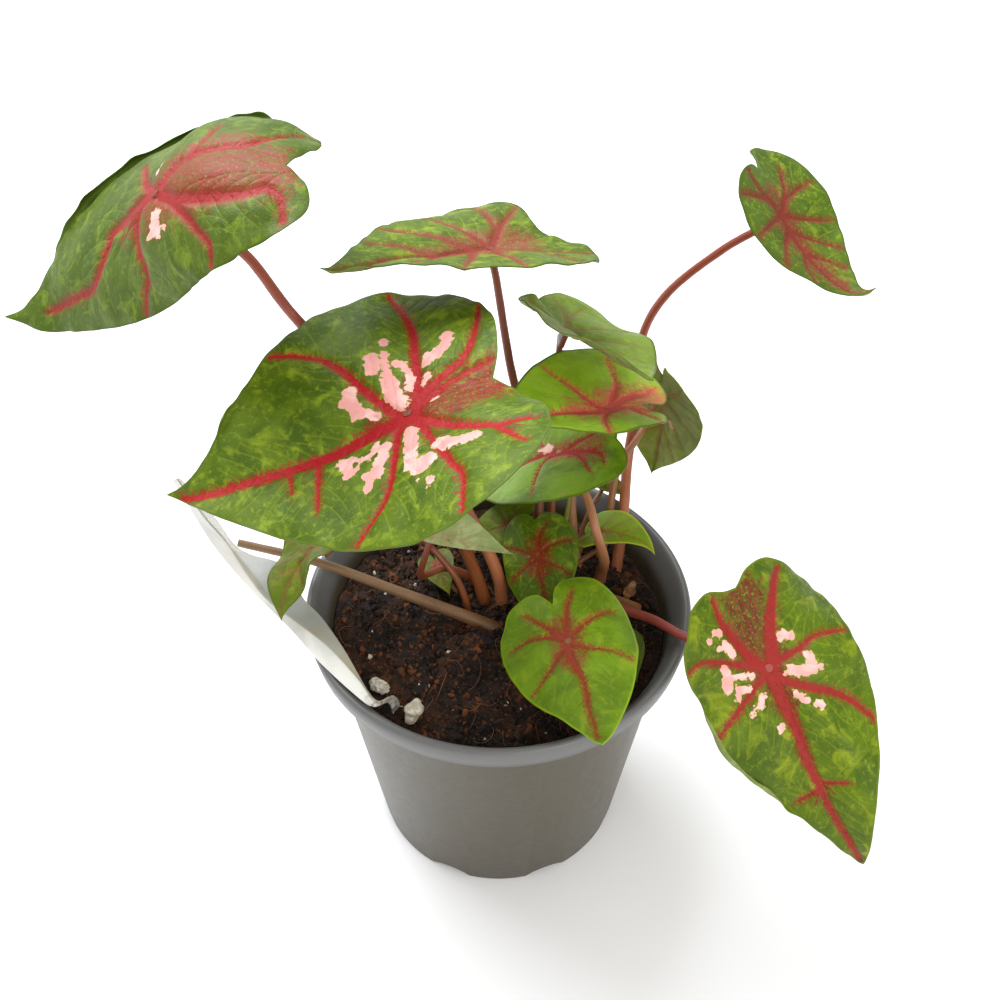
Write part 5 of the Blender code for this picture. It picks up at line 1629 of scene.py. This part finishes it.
def clods(x, y):
    """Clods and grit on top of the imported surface, in mm."""
    spot = Vector((x * 0.14, y * 0.14, 2.5))
    big = noise.fractal(spot, 0.9, 2.1, 3)
    small = noise.noise(Vector((x * 0.75, y * 0.75, 7.0)))
    return CLOD_HEIGHT * abs(big) ** 0.8 * (1.0 if big > 0 else -0.7) + GRIT_HEIGHT * small


def in_metres(points):
    return [(x * MM, y * MM, z * MM) for x, y, z in points]


soil_edge = wall_inner_radius(SOIL_LEVEL) - SOIL_GAP
angles = np.linspace(0.0, 2.0 * math.pi, SOIL_AROUND, endpoint=False)
soil_points = [(0.0, 0.0, SOIL_LEVEL)]
for ring_number in range(1, SOIL_RINGS + 1):
    radius = soil_edge * ring_number / SOIL_RINGS
    for angle in angles:
        x = radius * math.cos(angle)
        y = radius * math.sin(angle)
        soil_points.append((x, y, float(soil_height(x, y)) + clods(x, y)))
soil_foot = wall_inner_radius(SOIL_BASE + SOIL_FOOT_RISE) - SOIL_GAP
for radius, z in ((soil_foot, SOIL_BASE + SOIL_FOOT_RISE), (soil_foot - 1.5, SOIL_BASE)):
    soil_points += [(radius * math.cos(angle), radius * math.sin(angle), z) for angle in angles]
soil_points.append((0.0, 0.0, SOIL_BASE))
around = np.arange(SOIL_AROUND)
after = (around + 1) % SOIL_AROUND
soil_faces = [(0, 1 + a, 1 + b) for a, b in zip(around, after)]
for ring_number in range(SOIL_RINGS + 1):
    inner = 1 + ring_number * SOIL_AROUND
    outer = inner + SOIL_AROUND
    soil_faces += [(inner + a, outer + a, outer + b, inner + b) for a, b in zip(around, after)]
last_ring = 1 + (SOIL_RINGS + 1) * SOIL_AROUND
bottom = len(soil_points) - 1
soil_faces += [(last_ring + a, bottom, last_ring + b) for a, b in zip(around, after)]
soil_mesh = bpy.data.meshes.new("soil_bed")
soil_faces = [tuple(int(v) for v in face) for face in soil_faces]
soil_mesh.from_pydata(in_metres(soil_points), [], soil_faces)
soil_mesh.shade_smooth()
soil_bed = add_object("soil_bed", soil_mesh)

# %% Soil finish: near black, with brown and reddish specks
SOIL_DARK = screen_colour(22, 12, 6)
SOIL_BROWN = screen_colour(62, 34, 14)
SOIL_RED = screen_colour(150, 88, 42)
SOIL_CLUMP = screen_colour(126, 68, 28)

earth, tree, shader = new_material("potting_mix")
place = object_place(tree)
patches = use_group(tree, clouded, vector=place, scale=90.0, low=0.42, high=0.66)
earth_tone = mix_colours(tree, patches["Mask"], SOIL_DARK, SOIL_BROWN)
specks = ramp(tree, grain(tree, place, 900.0, 3.0, 0.7), 0.58, 0.68)
earth_tone = mix_colours(tree, times(tree, specks, 0.6), earth_tone, SOIL_RED)
ruddy = ramp(tree, field(tree, "tone"), 0.72, 1.0, 0.0, 0.75)
earth_tone = mix_colours(tree, ruddy, earth_tone, SOIL_CLUMP)
wire_finish(tree, shader, earth_tone, 0.95, grain(tree, place, 1100.0, 4.0, 0.7), 0.8 * MM)
soil_mesh.materials.append(earth)
seat(soil_bed, "soil", "soil")
print("soil bed faces:", len(soil_faces))

# %% Crumb shapes, and the tree that scatters them
CRUMB_SHAPES = 4
CRUMB_CORNERS = 14


def crumb_collection(name, squash, seed):
    """A few rough lumps of unit size, each the hull of a handful of points."""
    draw = np.random.default_rng(seed)
    shapes = bpy.data.collections.new(name)
    for k in range(CRUMB_SHAPES):
        points = draw.normal(size=(CRUMB_CORNERS, 3))
        points /= np.linalg.norm(points, axis=1, keepdims=True)
        points *= draw.uniform(0.35, 0.55, (CRUMB_CORNERS, 1)) * np.array(squash)
        lump = bmesh.new()
        for point in points:
            lump.verts.new(point)
        bmesh.ops.convex_hull(lump, input=lump.verts)
        mesh = bpy.data.meshes.new(f"{name}_{k + 1}")
        lump.to_mesh(mesh)
        lump.free()
        shapes.objects.link(bpy.data.objects.new(mesh.name, mesh))
    return shapes


scatter, g_in, g_out = geometry_tree(
    "crumb_scatter", (("Shapes", "Collection", None), ("Density", "Float", 1000.0),
                      ("Smallest", "Float", 0.001), ("Largest", "Float", 0.003),
                      ("Seed", "Int", 1), ("Finish", "Material", None)))
spots = add_node(scatter, "GeometryNodeDistributePointsOnFaces",
                 {"Mesh": g_in["Geometry"], "Density": g_in["Density"], "Seed": g_in["Seed"]})
sizes = add_node(scatter, "FunctionNodeRandomValue",
                 {2: g_in["Smallest"], 3: g_in["Largest"], "Seed": g_in["Seed"]})
turns = add_node(scatter, "FunctionNodeRandomValue",
                 {0: (0.0, 0.0, 0.0), 1: (6.283, 6.283, 6.283), "Seed": g_in["Seed"]},
                 data_type="FLOAT_VECTOR")
shapes = add_node(scatter, "GeometryNodeCollectionInfo",
                  {"Collection": g_in["Shapes"], "Separate Children": True,
                   "Reset Children": True})
placed = add_node(scatter, "GeometryNodeInstanceOnPoints",
                  {"Points": spots.outputs["Points"], "Instance": shapes.outputs[0],
                   "Pick Instance": True, "Rotation": turns.outputs["Value"],
                   "Scale": sizes.outputs[1]})
tones = add_node(scatter, "FunctionNodeRandomValue", {2: 0.0, 3: 1.0, "Seed": 77})
toned = add_node(scatter, "GeometryNodeStoreNamedAttribute",
                 {"Geometry": placed.outputs[0], "Name": "tone", "Value": tones.outputs[1]},
                 data_type="FLOAT", domain="INSTANCE")
close_tree(scatter, toned.outputs[0], g_in["Finish"], g_out["Geometry"])


def soil_top(share):
    """The bed's upper surface inside a share of its radius, as a mesh to scatter on."""
    rings = int(SOIL_RINGS * share)
    last = 1 + rings * SOIL_AROUND
    mesh = bpy.data.meshes.new("soil_top")
    mesh.from_pydata(in_metres(soil_points[:last]), [],
                     [face for face in soil_faces if max(face) < last])
    return mesh


# %% Crumbs, beads and fibres
BEAD_WHITE = screen_colour(236, 230, 216)
BEAD_SHADE = screen_colour(196, 184, 160)

bead = cloudy_finish("perlite_bead", BEAD_WHITE, BEAD_SHADE, 420.0, 0.6, 0.9, 0.4 * MM)
clod_shapes = crumb_collection("clod_shapes", (1.0, 0.8, 0.7), 3)
SCATTERS = (
    ("soil_crumbs", 330000.0, 0.9, 3.0, 11, earth, 0.97, "soil"),
    ("soil_clods", 26000.0, 3.0, 5.6, 12, earth, 0.92, "soil"),
    ("perlite_beads", 6500.0, 0.8, 2.4, 17, bead, 0.9, "perlite"),
)
for name, density, smallest, largest, seed, finish, share, slot_name in SCATTERS:
    mesh = grown(name, soil_top(share), scatter, shapes=clod_shapes, density=density,
                 smallest=smallest * MM, largest=largest * MM, seed=seed, finish=finish)
    seat(add_object(name, mesh), slot_name)
    print(name, "faces:", len(mesh.polygons))

FIBRE_COUNT = 70
FIBRE_STEPS = 12
FIBRE_STEP = 1.1
FIBRE_SIDES = 5
STALK_COLOURS["fibre"] = ((96, 58, 30), (120, 78, 44))
draw = np.random.default_rng(8)
fibre_lines = []
fibre_radii = []
for k in range(FIBRE_COUNT):
    radius = soil_edge * 0.9 * math.sqrt(draw.uniform(0.0, 1.0))
    angle = draw.uniform(0.0, 2.0 * math.pi)
    heading = draw.uniform(0.0, 2.0 * math.pi)
    curl = draw.uniform(-0.35, 0.35)
    x = radius * math.cos(angle)
    y = radius * math.sin(angle)
    lift = draw.uniform(0.2, 1.0)
    strand = []
    for stride in range(FIBRE_STEPS):
        x += FIBRE_STEP * math.cos(heading)
        y += FIBRE_STEP * math.sin(heading)
        heading += curl
        if math.hypot(x, y) > soil_edge - 1.0:
            break
        rise = lift * math.sin(math.pi * stride / (FIBRE_STEPS - 1.0)) * 2.2
        strand.append((x, y, float(soil_height(x, y)) + clods(x, y) + 0.1 + rise))
    if len(strand) > 4:
        fibre_lines.append(np.array(strand))
        fibre_radii.append(np.full(len(strand), draw.uniform(0.06, 0.14)))
fibre_mesh = grown("coir_fibres", tube_lines("coir", fibre_lines, fibre_radii), tube_tree,
                   sides=FIBRE_SIDES, roughen=0.0, finish=stalk_finish("fibre"))
seat(add_object("coir_fibres", fibre_mesh), "soil")

# %% [markdown]
# ## Lumps on the soil
# Two larger perlite lumps lie at the front, and a chip of bark stands by the crown.

# %% Perlite lumps and the bark chip
LUMPS = {
    "perlite_front": dict(at=(-25, -37.5), size=(8.5, 5.0, 5.0), turn=70, rough=0.08),
    "perlite_left": dict(at=(-36, -27.5), size=(6.0, 4.5, 3.4), turn=-40, rough=0.22),
    "bark_chip": dict(at=(42.8, 11.5), size=(8.0, 3.6, 2.8), turn=65, rough=0.22),
}
LUMP_REST = 0.6

bark = cloudy_finish("bark_chip", screen_colour(186, 140, 92), screen_colour(130, 84, 48),
                     260.0, 0.62, 0.8, 0.5 * MM)
for name, lump in LUMPS.items():
    mesh = bpy.data.meshes.new(name)
    ball = bmesh.new()
    bmesh.ops.create_icosphere(ball, subdivisions=5, radius=0.5)
    turn = Matrix.Rotation(math.radians(lump["turn"]), 3, "Z")
    centre_x, centre_y = lump["at"]
    base = float(soil_height(centre_x, centre_y))
    length, width, height = lump["size"]
    for vertex in ball.verts:
        co = vertex.co.copy()
        dent = 1.0 + 0.13 * math.sin(9.0 * co.x + 7.0 * co.z + lump["turn"])
        spin = Vector((lump["turn"], 0.0, 0.0))
        dent += lump["rough"] * noise.fractal(co * 5.0 + spin, 0.8, 2.0, 4)
        spot = turn @ Vector((co.x * length, co.y * width, 0.0)) * dent
        spot += Vector((centre_x, centre_y, base + (0.3 + co.z * dent) * height))
        spot.z = max(spot.z, float(soil_height(spot.x, spot.y)) + LUMP_REST)
        vertex.co = spot * MM
    ball.to_mesh(mesh)
    ball.free()
    mesh.shade_smooth()
    is_bark = name == "bark_chip"
    mesh.materials.append(bark if is_bark else bead)
    seat(add_object("lump_" + name, mesh), "bark" if is_bark else "perlite", name)

# %% [markdown]
# The tuber stays as it was packed, under the soil, with a rough brown skin.

# %% Tuber finish
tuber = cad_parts["tuber"]
tuber.data.materials.clear()
tuber.data.materials.append(cloudy_finish(
    "tuber_skin_rough", screen_colour(96, 66, 44), screen_colour(66, 42, 28), 120.0, 0.6, 0.9))
